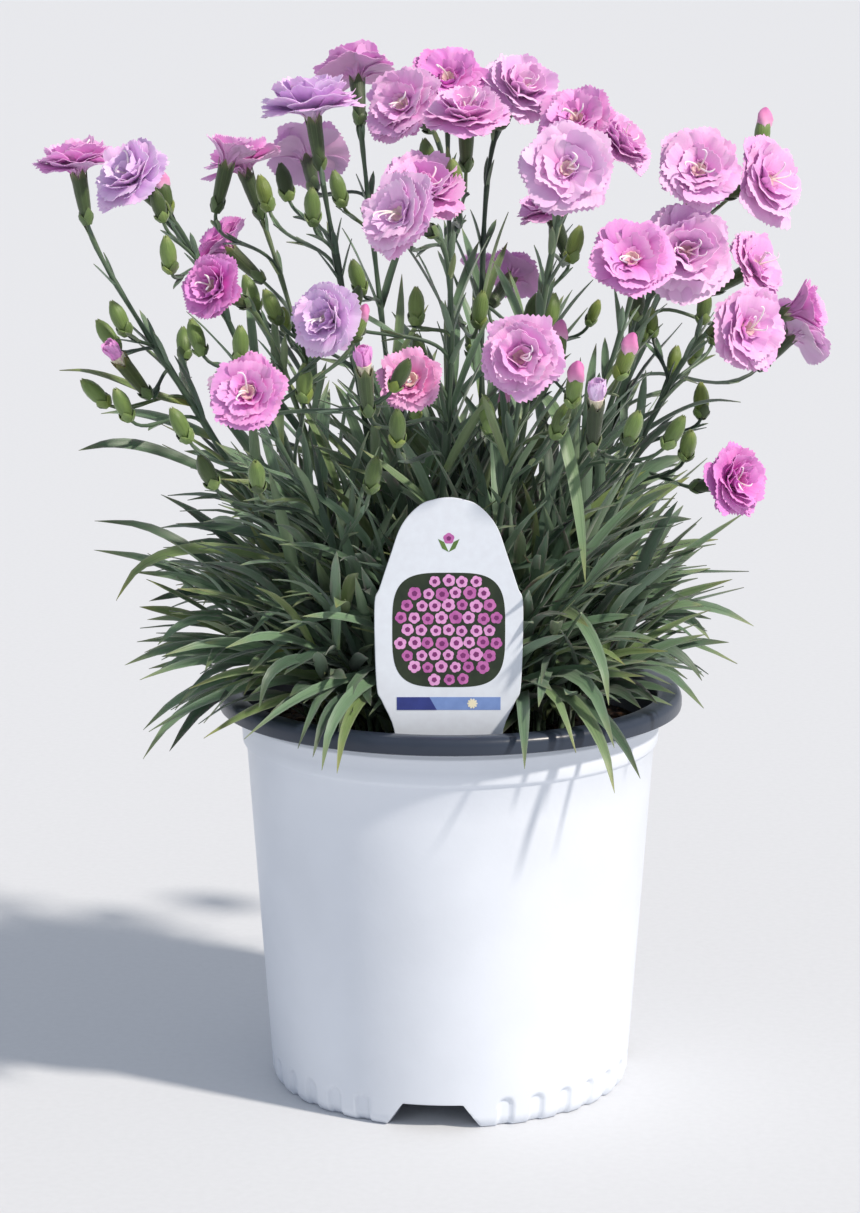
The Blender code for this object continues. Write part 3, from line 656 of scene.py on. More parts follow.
def coarse_tube(path: Sequence[Vector], radii: Sequence[float], sides: int, pointed: bool = False) -> Solid:
    """The CAD source's straight-sided tube through the path's points, with radii in metres."""
    points, side = [], None
    rings = len(path) - 1 if pointed else len(path)
    for index in range(rings):
        before, after = path[max(index - 1, 0)], path[min(index + 1, len(path) - 1)]
        along = (after - before).normalized()
        if side is None:
            side = along.orthogonal().normalized()
        side = (side - along * side.dot(along)).normalized()
        across = along.cross(side)
        for corner in range(sides):
            angle = math.tau * corner / sides
            points.append(path[index] + (side * math.cos(angle) + across * math.sin(angle)) * radii[index])
    if pointed:
        points.append(path[-1])
    return Solid(points, hull(rings, sides, pointed))


@dataclass(frozen=True)
class Leaf:
    """Where one leaf grows: its foot, the side it takes, how steeply it starts, how far it bends, and its size."""

    start: Vector
    turn: float
    climb: float
    bend: float
    length: float
    width: float
    steps: int = 3
    sway: float = 0.0

    def course(self, step: int) -> tuple[Vector, float]:
        """Its level direction and its slope in radians at one of its steps."""
        t = step / self.steps
        way = math.radians(self.turn + self.sway * t)
        return Vector((math.cos(way), math.sin(way), 0.0)), math.radians(self.climb - self.bend * t ** 1.3)

    def spots(self) -> list[Vector]:
        """The points that its middle line passes through."""
        spots, spot = [self.start], self.start
        for step in range(self.steps):
            out, slope = self.course(step)
            spot = spot + (out * math.cos(slope) + Vector((0, 0, math.sin(slope)))) * (self.length / self.steps * MM)
            spots.append(spot)
        return spots

    def solid(self, thickness: float, more_length: float = 0.0, more_width: float = 0.0) -> Solid:
        """The CAD source's leaf of three-cornered section, or a larger one that leaves room round it."""
        shares = (0.4, 1.0, 0.85, 0.6)
        longer = replace(self, length=self.length + more_length, width=self.width + more_width)
        spots, points = longer.spots(), []
        for step in range(self.steps):
            out, slope = self.course(step)
            across = Vector((-out.y, out.x, 0.0))
            below = out * math.sin(slope) - Vector((0, 0, math.cos(slope)))
            reach = longer.width * shares[step] / 2 * MM
            keel = thickness * (1.0 if step else 0.6) * MM
            points.extend((spots[step] + across * reach, spots[step] - across * reach, spots[step] + below * keel))
        points.append(spots[-1])
        return Solid(points, hull(self.steps, 3, True))


@dataclass
class Stem:
    """The stems of one spray before its leaves."""

    spray: Spray
    path: list[Vector] = field(default_factory=list)            # the main stem's corner points, from the soil up
    curve: list[Vector] = field(default_factory=list)           # the same stem, finely stepped
    stalks: list[list[Vector]] = field(default_factory=list)    # each stalk's fine points
    tops: list[tuple[Head, Vector, Vector]] = field(default_factory=list)       # each head's foot and direction
    solids: list[Solid] = field(default_factory=list)
    flowers: list[tuple[Head, Vector, Vector]] = field(default_factory=list)    # mouths of the open heads
    leaves: list[Leaf] = field(default_factory=list)


@dataclass(frozen=True)
class PetalRoom:
    """How one coarse petal ended: its turn, and how much it was cut short and raised to keep clear."""

    turn: float
    share: float
    more: float


@dataclass
class GrowthPlan:
    """The plant's layout, worked out by the same rule and the same draws as in the CAD source."""

    soil_top: float = 128.0
    soil_crown: float = 3.0
    root_depth: float = 14.0
    gap: float = 0.3
    main_steps: int = 5
    fine_steps: int = 30
    stem_radius: float = 1.35
    stalk_radius: float = 1.05
    green_sides: int = 4
    petal_thickness: float = 1.1
    calyx_length: float = 17.0
    calyx_radius: float = 2.7
    bud_length: float = 13.0
    bud_radius: float = 3.1
    heart_height: float = 0.2
    leaf_width: float = 4.2
    leaf_thickness: float = 1.0
    leaf_sheath: float = 5.0
    leaf_joints: tuple[float, float] = (0.26, 0.46)     # where a main stem has pairs of leaves
    crown_radius: float = 46.0                          # how far out the sprays are rooted
    first_length: float = 42.0                          # of a main stem, up to its first bend
    tries: int = 14
    stems: list[Stem] = field(default_factory=list)
    rooms: dict[int, list[list[PetalRoom]]] = field(default_factory=dict)
    flower_trees: list[BVHTree] = field(default_factory=list)
    solid_ground: list[BVHTree] = field(default_factory=list)

    PETAL = ((0.02, 0.0), (0.62, -0.44), (0.93, -0.36), (0.88, 0.0), (1.0, 0.32), (0.66, 0.46))

    def calyx(self, mouth: Vector, axis: Vector) -> tuple[Solid, Vector]:
        """The coarse calyx below a mouth, and its foot."""
        foot = mouth - axis * (self.calyx_length * MM)
        radii = [self.calyx_radius * 0.75 * MM, self.calyx_radius * MM]
        return coarse_tube([foot, mouth], radii, self.green_sides), foot

    def closed_bud(self, heart: Vector, axis: Vector) -> tuple[Solid, Vector]:
        """The coarse closed bud round a heart, and its foot."""
        foot = heart - axis * (self.bud_length / 2 * MM)
        path = [foot + axis * (self.bud_length * share * MM) for share in (0.0, 0.45, 1.0)]
        return coarse_tube(path, [self.bud_radius * 0.55 * MM, self.bud_radius * MM, 0.0], self.green_sides, True), foot

    def petal(self, length: float, width: float, base: float, rise: float, turn: float) -> Solid:
        """The coarse petal: a plate, thicker in its middle, whose claw starts on the flower's axis."""
        points = [Vector((length * out * MM, width * side * MM, 0.0)) for out, side in self.PETAL]
        points.append(Vector((length * 0.62 * MM, 0.0, -self.petal_thickness * MM)))
        count = len(self.PETAL)
        faces = [tuple(reversed(range(count)))] + [(index, (index + 1) % count, count) for index in range(count)]
        lift = Matrix.Translation((0.0, 0.0, base * MM)) @ Matrix.Rotation(math.radians(-rise), 4, "Y")
        return Solid(points, faces).moved(Matrix.Rotation(math.radians(turn), 4, "Z") @ lift)

    def petal_rings(self, head: Head) -> tuple[tuple[int, float, float, float, float], ...]:
        """The coarse rings: how many petals, their length and width, the claw's height, and their rise."""
        reach = head.width / 2
        if head.kind is Kind.BLOOM:
            return (5, reach * 1.02, reach * 0.98, 3.0, 10), (3, reach * 0.92, reach * 1.0, 4.2, 42)
        if head.kind is Kind.HALF:
            return (5, reach * 1.3, reach * 1.0, 1.8, 42), (2, reach * 1.2, reach * 0.8, 2.4, 68)
        return ((4, reach * 1.6, reach * 1.1, 1.1, 62),)

    def core(self, head: Head) -> Solid:
        """The coarse bundle of claws."""
        top, height = {Kind.BLOOM: (3.2, 5.6), Kind.HALF: (2.8, 3.6), Kind.TIP: (2.4, 2.2)}[head.kind]
        return coarse_tube([place(0, 0, self.gap), place(0, 0, height)], [1.9 * MM, top * MM], 4)

    def grow_stem(self, spray: Spray) -> Stem:
        """The main stem from the soil to the first head, and a stalk to each of the others."""
        stem = Stem(spray)
        root = place(*spray.root, self.soil_top - self.root_depth)
        level = place(*spray.root, self.soil_top + self.soil_crown + 2)
        for head in spray.heads:
            axis, heart = heading(head.turn, head.tilt), place(*head.heart)
            if head.kind is Kind.BUD:
                top, foot = self.closed_bud(heart, axis)
            else:
                mouth = heart - axis * (head.width * (self.heart_height if head.kind is Kind.BLOOM else 0.4) * MM)
                top, foot = self.calyx(mouth, axis)
                stem.flowers.append((head, mouth, axis))
            stem.tops.append((head, foot, axis))
            arrive = foot + axis * 1.5 * MM
            if not stem.path:
                reach = (arrive - level).length
                leave, land = Vector((0, 0, reach * 0.3)), axis * reach * 0.14
                stem.path = [root] + bezier(level, leave, arrive, land, self.main_steps)
                stem.curve = [root] + bezier(level, leave, arrive, land, self.fine_steps)
                radii = [self.stem_radius] * 2
                radii += [self.stem_radius - 0.07 * step for step in range(1, self.main_steps + 1)]
                stem.solids.append(coarse_tube(stem.path, [radius * MM for radius in radii], self.green_sides))
            else:
                start, along = on_path(stem.path, 1 + head.leaves_stem * self.main_steps)
                reach = (arrive - start).length
                path = bezier(start, along * reach * 0.35, arrive, axis * reach * 0.35, 2)
                stem.solids.append(coarse_tube(path, [self.stalk_radius * MM] * 3, 3))
                fine = bezier(start, along * reach * 0.35, arrive, axis * reach * 0.35, 14)
                fine[0] = self.at(stem, head.leaves_stem)
                stem.stalks.append(fine)
            stem.solids.append(top)
        return stem

    def at(self, stem: Stem, share: float) -> Vector:
        """The point of a main stem that is this share of the way up, above the soil."""
        return on_path(stem.curve, 1 + share * self.fine_steps)[0]

    def grow_flower(self, number: int, head: Head, mouth: Vector, axis: Vector, others: Sequence[BVHTree]) -> None:
        """Lay out the coarse petals of one open head, and keep how each one came clear of the others."""
        chance = random.Random(SEED + number)
        matrix = frame_at(mouth, axis, chance.uniform(0, math.tau))
        trees, rooms = [self.core(head).moved(matrix).tree()], []
        for order, (count, length, width, base, rise) in enumerate(self.petal_rings(head)):
            rooms.append([])
            for index in range(count):
                turn = 360 / count * (index + 0.5 * order) + chance.uniform(-3, 3)
                lean, size = rise + chance.uniform(-5, 5), chance.uniform(0.94, 1.04)
                solid, room = self.clear_petal(length * size, width, base, lean, turn, matrix, others)
                trees.append(solid.tree())
                rooms[-1].append(room)
        self.flower_trees += trees
        self.rooms[number] = rooms

    def clear_petal(self, length: float, width: float, base: float, rise: float, turn: float, matrix: Matrix,
                    others: Sequence[BVHTree]) -> tuple[Solid, PetalRoom]:
        """The first of a petal's raised and shortened forms that keeps clear of the others."""
        for share in (1.0, 0.85, 0.7):
            for more in (0, 10, 20, 30, 40):
                test = self.petal(length * share + 0.8, width * share + 0.8, base, rise + more, turn).moved(matrix)
                if not touches(test, others):
                    solid = self.petal(length * share, width * share, base, rise + more, turn).moved(matrix)
                    return solid, PetalRoom(turn, share, more)
        solid = self.petal(length * 0.5, width * 0.5, base, rise + 30, turn).moved(matrix)
        return solid, PetalRoom(turn, 0.5, 30)

    def leaf_plan(self, stem: Stem, chance: random.Random) -> Iterator[Leaf]:
        """The leaves of a spray: over the rim, in a tuft at its foot, steeper above that, and in pairs further up."""
        spray, draw = stem.spray, chance.uniform
        out = math.degrees(math.atan2(spray.root[1], spray.root[0]))
        foot, edge = stem.path[1], math.hypot(*spray.root) / self.crown_radius
        for turn, climb, bend, length in spray.draped:
            yield Leaf(foot, turn, climb, bend, length, self.leaf_width * 1.3, 4)
        for number in range(6):
            start = foot.lerp(stem.path[2], (3.2 * number + draw(2, 3.5)) / self.first_length)
            turn = out + (number % 2 * 2 - 1) * draw(10, 120 - 40 * edge)
            climb = draw(48, 74) - 14 * edge * (number % 3 == 0)
            width = self.leaf_width * draw(0.95, 1.3)
            yield Leaf(start, turn, climb, draw(25, 80), draw(62, 92), width, 3)
        for number in range(4):
            start = foot.lerp(stem.path[2], (12 + 7 * number + draw(0, 4)) / self.first_length)
            turn = out + draw(-150, 150)
            climb, width = draw(56, 76), self.leaf_width * draw(0.9, 1.2)
            yield Leaf(start, turn, climb, draw(20, 60), draw(60, 84), width, 2)
        for level in self.leaf_joints:
            start, turn = on_path(stem.path, 1 + level * self.main_steps)[0], draw(0, 180)
            for side in (0, 180):
                length = draw(54, 72) * (1.25 - level)
                climb, bend = draw(50, 70), draw(20, 60)
                width = self.leaf_width * (1.1 - level * 0.4)
                yield Leaf(start, turn + side + draw(-14, 14), climb, bend, length, width, 2)

    def grow_leaves(self, index: int, others: Sequence[BVHTree]) -> list[BVHTree]:
        """Keep the leaves of a spray that fit between the other bodies. One that doesn't is turned and bent anew."""
        stem, own, trees = self.stems[index], [], []
        chance = random.Random(SEED * 7 + index)
        for leaf in self.leaf_plan(stem, chance):
            for _ in range(self.tries):
                leaf = replace(leaf, sway=chance.uniform(-20, 20))
                solid = leaf.solid(self.leaf_thickness)
                room = leaf.solid(self.leaf_thickness, 1.0, 0.9)
                if not touches(room, [*others, *own]) and not touches(solid, others):
                    stem.leaves.append(leaf)
                    own.append(solid.beyond(leaf.start, self.leaf_sheath * MM).tree())
                    trees.append(solid.tree())
                    break
                turn = leaf.turn + chance.uniform(-35, 35)
                climb = min(leaf.climb + chance.uniform(-4, 6), 80)
                leaf = replace(leaf, turn=turn, climb=climb, length=leaf.length * 0.97)
        return trees

    def lay_out(self, frame_nodes: dict[str, bpy.types.Object]) -> None:
        """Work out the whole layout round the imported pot, soil and label."""
        ground = []
        for name in ("pot", "soil", "label"):
            mesh = frame_nodes[name].data
            points = [vertex.co.copy() for vertex in mesh.vertices]
            ground.append(BVHTree.FromPolygons(points, [tuple(face.vertices) for face in mesh.polygons]))
        self.stems = [self.grow_stem(spray) for spray in SPRAYS]
        stem_trees = [[solid.tree() for solid in stem.solids] for stem in self.stems]
        greens = [tree for trees in stem_trees for tree in trees]
        number = 0
        for stem in self.stems:
            for head, mouth, axis in stem.flowers:
                number += 1
                self.grow_flower(number, head, mouth, axis, ground + greens + self.flower_trees)
        leaf_trees: list[list[BVHTree]] = [[] for _ in SPRAYS]
        for index in range(len(SPRAYS)):
            others = ground + self.flower_trees
            for other in range(len(SPRAYS)):
                if other != index:
                    others = others + stem_trees[other] + leaf_trees[other]
            leaf_trees[index] = self.grow_leaves(index, others)
        self.solid_ground = [ground[0], ground[2]]
        LOG.info("layout: %d flowers, %d CAD leaves", number, sum(len(stem.leaves) for stem in self.stems))


# ---- meshes


@dataclass
class Skin:
    """Closed surfaces that grow into one mesh, with the marks that its materials read."""

    points: list[np.ndarray] = field(default_factory=list)
    faces: list[Sequence[int]] = field(default_factory=list)
    finishes: list[int] = field(default_factory=list)
    marks: dict[Mark, list[np.ndarray]] = field(default_factory=lambda: {name: [] for name in Mark})
    count: int = 0

    def add(self, points: np.ndarray, faces: Sequence[Sequence[int]], finish: int = 0, matrix: Matrix | None = None,
            marks: Marks | None = None) -> None:
        """Add one closed surface.

        Args:
            points: its points, in metres.
            faces: its faces, as numbers of those points.
            finish: which of the piece's finishes it has.
            matrix: where it goes, if not where its points are.
            marks: the values of its marks, one for all its points or one each.
        """
        if matrix is not None:
            turn = np.array(matrix.to_3x3())
            points = points @ turn.T + np.array(matrix.translation)
        self.points.append(points)
        self.faces.extend([[corner + self.count for corner in face] for face in faces])
        self.finishes.extend([finish] * len(faces))
        for name in Mark:
            value = (marks or {}).get(name, 0.0)
            self.marks[name].append(np.broadcast_to(np.asarray(value, float), (len(points),)))
        self.count += len(points)

    def loft(self, rings: np.ndarray, finish: int = 0, matrix: Matrix | None = None,
             marks: Marks | None = None) -> None:
        """Add the skin over rings of points, an array of rings by sides by 3, closed with a face at each end."""
        flat = {name: np.reshape(value, -1) if np.ndim(value) else value for name, value in (marks or {}).items()}
        self.add(rings.reshape(-1, 3), hull(*rings.shape[:2]), finish, matrix, flat)

    def tube(self, path: np.ndarray, radii: np.ndarray, sides: int, finish: int = 0,
             marks: Marks | None = None) -> None:
        """Add a round stem along a path.

        Args:
            path: its middle line in metres.
            radii: its radius at each point in metres.
            sides: how many sides it has.
            finish: which of the piece's finishes it has.
            marks: values of marks, for all of it.
        """
        tangents = np.gradient(path, axis=0)
        side = Vector(tangents[0]).orthogonal().normalized()
        rings = []
        for spot, radius, tangent in zip(path, radii, tangents):
            along = Vector(tangent).normalized()
            side = (side - along * side.dot(along)).normalized()
            across = along.cross(side)
            angles = turns(sides)
            around = np.outer(np.cos(angles), side) + np.outer(np.sin(angles), across)
            rings.append(spot + around * radius)
        given = dict(marks or {})
        given[Mark.ALONG] = np.repeat(np.linspace(0, 1, len(path)), sides)
        self.loft(np.array(rings), finish, None, given)

    def plate(self, top: np.ndarray, thickness: np.ndarray, finish: int = 0, matrix: Matrix | None = None,
              marks: Marks | None = None) -> None:
        """Add a thin curved plate.

        Args:
            top: its upper side, rows by columns by 3, in metres.
            thickness: its thickness at each of those points.
            finish: which of the piece's finishes it has.
            matrix: where it goes.
            marks: values of marks on the upper side. UNDER is set here.
        """
        half_count = top.shape[0] * top.shape[1]
        normal = np.cross(np.gradient(top, axis=0), np.gradient(top, axis=1))
        normal /= np.maximum(np.linalg.norm(normal, axis=2, keepdims=True), 1e-12)
        bottom = top - normal * thickness[..., None]
        points = np.concatenate([top.reshape(-1, 3), bottom.reshape(-1, 3)])
        grid = np.arange(half_count).reshape(top.shape[:2])
        above = np.stack([grid[:-1, :-1], grid[:-1, 1:], grid[1:, 1:], grid[1:, :-1]], axis=2).reshape(-1, 4)
        below = above[:, [0, 3, 2, 1]] + half_count
        rim = np.concatenate([grid[0], grid[1:, -1], grid[-1, -2::-1], grid[-2:0:-1, 0]])
        after = np.roll(rim, -1)
        side = np.column_stack([after, rim, rim + half_count, after + half_count])
        faces = np.concatenate([np.stack([above, below], axis=1).reshape(-1, 4), side]).tolist()
        both = {
            name: np.tile(np.broadcast_to(value, grid.shape).reshape(-1), 2) for name, value in (marks or {}).items()
        }
        both[Mark.UNDER] = np.repeat([0.0, 1.0], half_count)
        self.add(points, faces, finish, matrix, both)

    def piece(self, name: str, finishes: Sequence[bpy.types.Material], sharp: float = 60.0) -> bpy.types.Object:
        """Turn the skin into an object.

        Args:
            name: its name.
            finishes: its materials.
            sharp: edges that turn by more than this many degrees stay sharp.

        Returns:
            The object, in the scene.
        """
        mesh = bpy.data.meshes.new(name)
        mesh.from_pydata(np.concatenate(self.points), [], self.faces)
        for mark_name, values in self.marks.items():
            layer = mesh.attributes.new(mark_name.value, "FLOAT", "POINT")
            layer.data.foreach_set("value", np.concatenate(values).astype(np.float32))
        for material in finishes:
            mesh.materials.append(material)
        mesh.polygons.foreach_set("material_index", self.finishes)
        shell = bmesh.new()
        shell.from_mesh(mesh)
        bmesh.ops.recalc_face_normals(shell, faces=shell.faces)
        shell.to_mesh(mesh)
        shell.free()
        mesh.shade_smooth()
        mesh.set_sharp_from_angle(angle=math.radians(sharp))
        return placed(name, mesh)


def hand_over(piece: bpy.types.Object, slot: str, *nodes: str) -> bpy.types.Object:
    """Let a finished piece ride on the part and stand for its CAD nodes, and report it."""
    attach(piece, BODY)
    if nodes:
        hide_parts(*nodes)
    LOG.info("%s: %d faces, stands for %s", piece.name, len(piece.data.polygons), ", ".join(nodes) or "nothing")
    return piece


# ---- pot, soil and label


@dataclass
class NurseryPot:
    """The thermoformed pot: white sheet outside, black inside, with the black side turned out on its rolled rim."""

    columns: int = 576
    foot_radius: float = 64.2
    step_radius: float = 72.8
    step_height: float = 124.0
    shoulder_radius: float = 74.6
    rim_radius: float = 82.5
    wall: float = 1.2
    floor: float = 9.3
    ring_width: float = 3.4
    arches: int = 3
    arch_turn: float = -95.7
    arch_top: float = 21.0
    arch_foot: float = 34.0
    arch_height: float = 8.9
    flutes: int = 8
    first_flute: float = 22.8
    flute_spacing: float = 10.6
    flute_half_width: float = 2.6
    flute_height: float = 10.5
    flute_depth: float = 1.25
    white: Finish = MouldedFinish("white_polypropylene_vacuum_formed", roughness=0.36)
    black: Finish = MouldedFinish(
        "black_polypropylene_vacuum_formed", roughness=0.3, low="353e4d", high="293140", relief_mm=1.6, depth=0.04
    )

    def wall_radius(self, height: float) -> float:
        """The outside of the wall below the step."""
        return self.foot_radius + (self.step_radius - self.foot_radius) * height / self.step_height

    def profile(self) -> tuple[list[tuple[float, float]], int, int]:
        """The section from the middle of the underside round to the middle of the floor.

        Returns:
            The points, and the numbers of the first and the last point of the black side.
        """
        shoulder, rim, step, ledge = self.shoulder_radius, self.rim_radius, self.step_radius, self.step_height
        wall_at = self.wall_radius
        inner, outer = self.foot_radius - 2 - self.ring_width, self.foot_radius - 2
        points = [(0.01, self.floor), (30, self.floor), (inner - 0.3, self.floor), (inner, self.floor - 0.3)]
        points += [(inner, 0.4), (inner + 0.4, 0.0), (outer - 0.2, 0.0), (outer + 0.6, 0.4), (outer + 1.3, 1.3)]
        points += [(outer + 1.9, 2.4)]
        points += [(wall_at(z), z) for z in np.arange(3.5, 13.0, 0.8)]
        points += [(wall_at(z), z) for z in np.linspace(16, ledge - 0.6, 9)]
        points += [
            (step + 0.35, ledge), (shoulder - 0.75, ledge + 0.6),
            (shoulder - 0.4, ledge + 1.4), (shoulder - 0.2, 129.0),
            (shoulder - 0.1, 132.9), (shoulder + 0.3, 133.4),
            (shoulder + 0.3, 134.2), (shoulder, 134.7), (shoulder, 137.3),
        ]
        first = len(points)
        points += [
            (shoulder + 0.5, 137.9), (rim - 2.2, 137.3), (rim - 0.8, 137.0),
            (rim - 0.2, 137.3), (rim, 138.2), (rim, 140.4),
            (rim - 0.3, 141.6), (rim - 1.0, 142.5), (rim - 2.1, 143.0),
            (rim - 4.5, 143.0), (shoulder + 1.4, 143.0), (shoulder + 0.1, 142.7),
            (shoulder - 0.8, 141.9), (shoulder - self.wall, 140.6),
            (shoulder - self.wall, ledge + 1.4),
            (step - 0.6, ledge - 0.2), (step - self.wall, ledge - 1.2),
            (wall_at(70) - self.wall, 70.0), (wall_at(12) - self.wall, 13.0),
            (wall_at(11) - self.wall - 1.0, 10.6), (30, self.floor + self.wall), (0.01, self.floor + self.wall),
        ]
        return points, first, len(points) - 1

    def arch_at(self, along: np.ndarray) -> np.ndarray:
        """How high the foot is cut away at a distance from an arch's middle."""
        slope = (self.arch_foot - self.arch_top) / 2 / self.arch_height
        share = (self.arch_foot / 2 - np.abs(along)) / slope
        return np.clip(share, 0.0, self.arch_height)

    def shell(self) -> Skin:
        """The whole pot, its foot cut by arches and pressed in at the flutes."""
        points, first, last = self.profile()
        angles = np.radians(np.arange(self.columns) * 360 / self.columns)
        radius = np.repeat(np.array([point[0] for point in points])[:, None], self.columns, axis=1)
        height = np.repeat(np.array([point[1] for point in points])[:, None], self.columns, axis=1)
        outside = (np.arange(len(points)) >= 6)[:, None] & (np.arange(len(points)) < first)[:, None]
        for arch in range(self.arches):
            middle = math.radians(self.arch_turn + 360 / self.arches * arch)
            away = (angles - middle + math.pi) % math.tau - math.pi
            cut = self.arch_at(away * self.foot_radius)
            height = np.where(height < 9.0, np.maximum(height, cut[None, :]), height)
            for flute in range(self.flutes):
                turn = middle + math.radians(self.first_flute + self.flute_spacing * flute)
                side = np.abs(((angles - turn + math.pi) % math.tau - math.pi) * self.foot_radius)[None, :]
                shoulder = np.maximum(height - (self.flute_height - self.flute_half_width), 0.0)
                beyond = np.hypot(side, shoulder) - self.flute_half_width
                radius = radius - outside * self.flute_depth * (1 - ramp(beyond, -0.7, 0.5))
        rings = np.stack([radius * np.cos(angles), radius * np.sin(angles), height], axis=2) * MM
        skin = Skin()
        skin.loft(rings)
        sides = self.columns
        for row in range(first, last):
            start = 1 + row * sides
            skin.finishes[start:start + sides] = [1] * sides
        skin.finishes[-1] = 1
        return skin

    def build(self) -> None:
        """Make the pot and put it in the scene."""
        piece = self.shell().piece("nursery_pot", [self.white.made(), self.black.made()], 50.0)
        hand_over(piece, "pot_wall", "pot")


@dataclass
class PottingSoil:
    """Peat and bark that fill the pot, with chips and a few grains of perlite on top."""

    radius: float = 73.1
    bottom: float = 12.0
    foot_radius: float = 62.4
    ledge: float = 122.6            # where the pot's wall steps out
    ledge_radius: float = 71.3
    edge_height: float = 127.0
    crown: float = 4.0
    rings: int = 46
    columns: int = 132
    chips: int = 440
    grains: int = 60
    peat: Finish = GrainFinish("peat", roughness=0.95)
    bark: Finish = GrainFinish(
        "pine_bark", roughness=0.9, low="2a1b12", high="6b4b32", grain_mm=1.6, relief_mm=0.8, depth=0.4
    )
    perlite: Finish = GrainFinish(
        "perlite", roughness=0.8, low="c9c6bd", high="efece6", grain_mm=0.8, relief_mm=0.4, depth=0.2
    )

    def height_at(self, x: float, y: float) -> float:
        """The soil's surface at a place in millimetres."""
        share = math.hypot(x, y) / self.radius
        lump = noise.noise(Vector((x / 11, y / 11, 3.1))) * 1.6 + noise.noise(Vector((x / 3.2, y / 3.2, 7.7))) * 0.7
        return self.edge_height + self.crown * (1 - share ** 2) + lump * (1 - share ** 6)

    def ground(self, skin: Skin) -> None:
        """The filled body with its uneven top."""
        angles = turns(self.columns)
        rows = [ring(self.foot_radius, angles, self.bottom), ring(self.ledge_radius, angles, self.ledge)]
        for row in range(self.rings):
            spots = ring(self.radius * (1 - row / self.rings), angles, 0.0)
            rows.append([(x, y, self.height_at(x, y)) for x, y, _ in spots])
        skin.loft(np.array(rows) * MM)

    def lumps(self, skin: Skin, count: int, size: tuple[float, float], flat: float, finish: int, seed: int) -> None:
        """Scatter broken lumps over the soil.

        Args:
            skin: what they are added to.
            count: how many.
            size: their smallest and largest length in millimetres.
            flat: their thickness as a share of their length.
            finish: which finish they have.
            seed: the seed of their draws.
        """
        chance = random.Random(seed)
        corners = [(math.cos(a), math.sin(a)) for a in turns(6)]
        for _ in range(count):
            reach, turn = self.radius * math.sqrt(chance.random()) * 0.975, chance.uniform(0, math.tau)
            x, y = reach * math.cos(turn), reach * math.sin(turn)
            length = chance.uniform(*size)
            rows = []
            for level, share in ((-0.5, 0.6), (-0.1, 1.0), (0.35, 0.9), (0.5, 0.5)):
                rows.append([
                    (a * share * length / 2 * chance.uniform(0.75, 1.15),
                     b * share * length * 0.32 * chance.uniform(0.75, 1.15), level * length * flat)
                    for a, b in corners
                ])
            spin = Matrix.Rotation(chance.uniform(0, math.tau), 4, "Z")
            spin = spin @ Matrix.Rotation(chance.uniform(-0.4, 0.4), 4, "X")
            spot = Matrix.Translation(place(x, y, self.height_at(x, y) + length * flat * 0.25))
            skin.loft(np.array(rows) * MM, finish, spot @ spin)

    def build(self) -> None:
        """Make the soil and put it in the scene."""
        skin = Skin()
        self.ground(skin)
        self.lumps(skin, self.chips, (2.5, 8.0), 0.22, 1, SEED + 501)
        self.lumps(skin, self.grains, (1.2, 2.6), 0.7, 2, SEED + 502)
        piece = skin.piece("potting_mix", [self.peat.made(), self.bark.made(), self.perlite.made()], 45.0)
        hand_over(piece, "potting_soil", "soil")


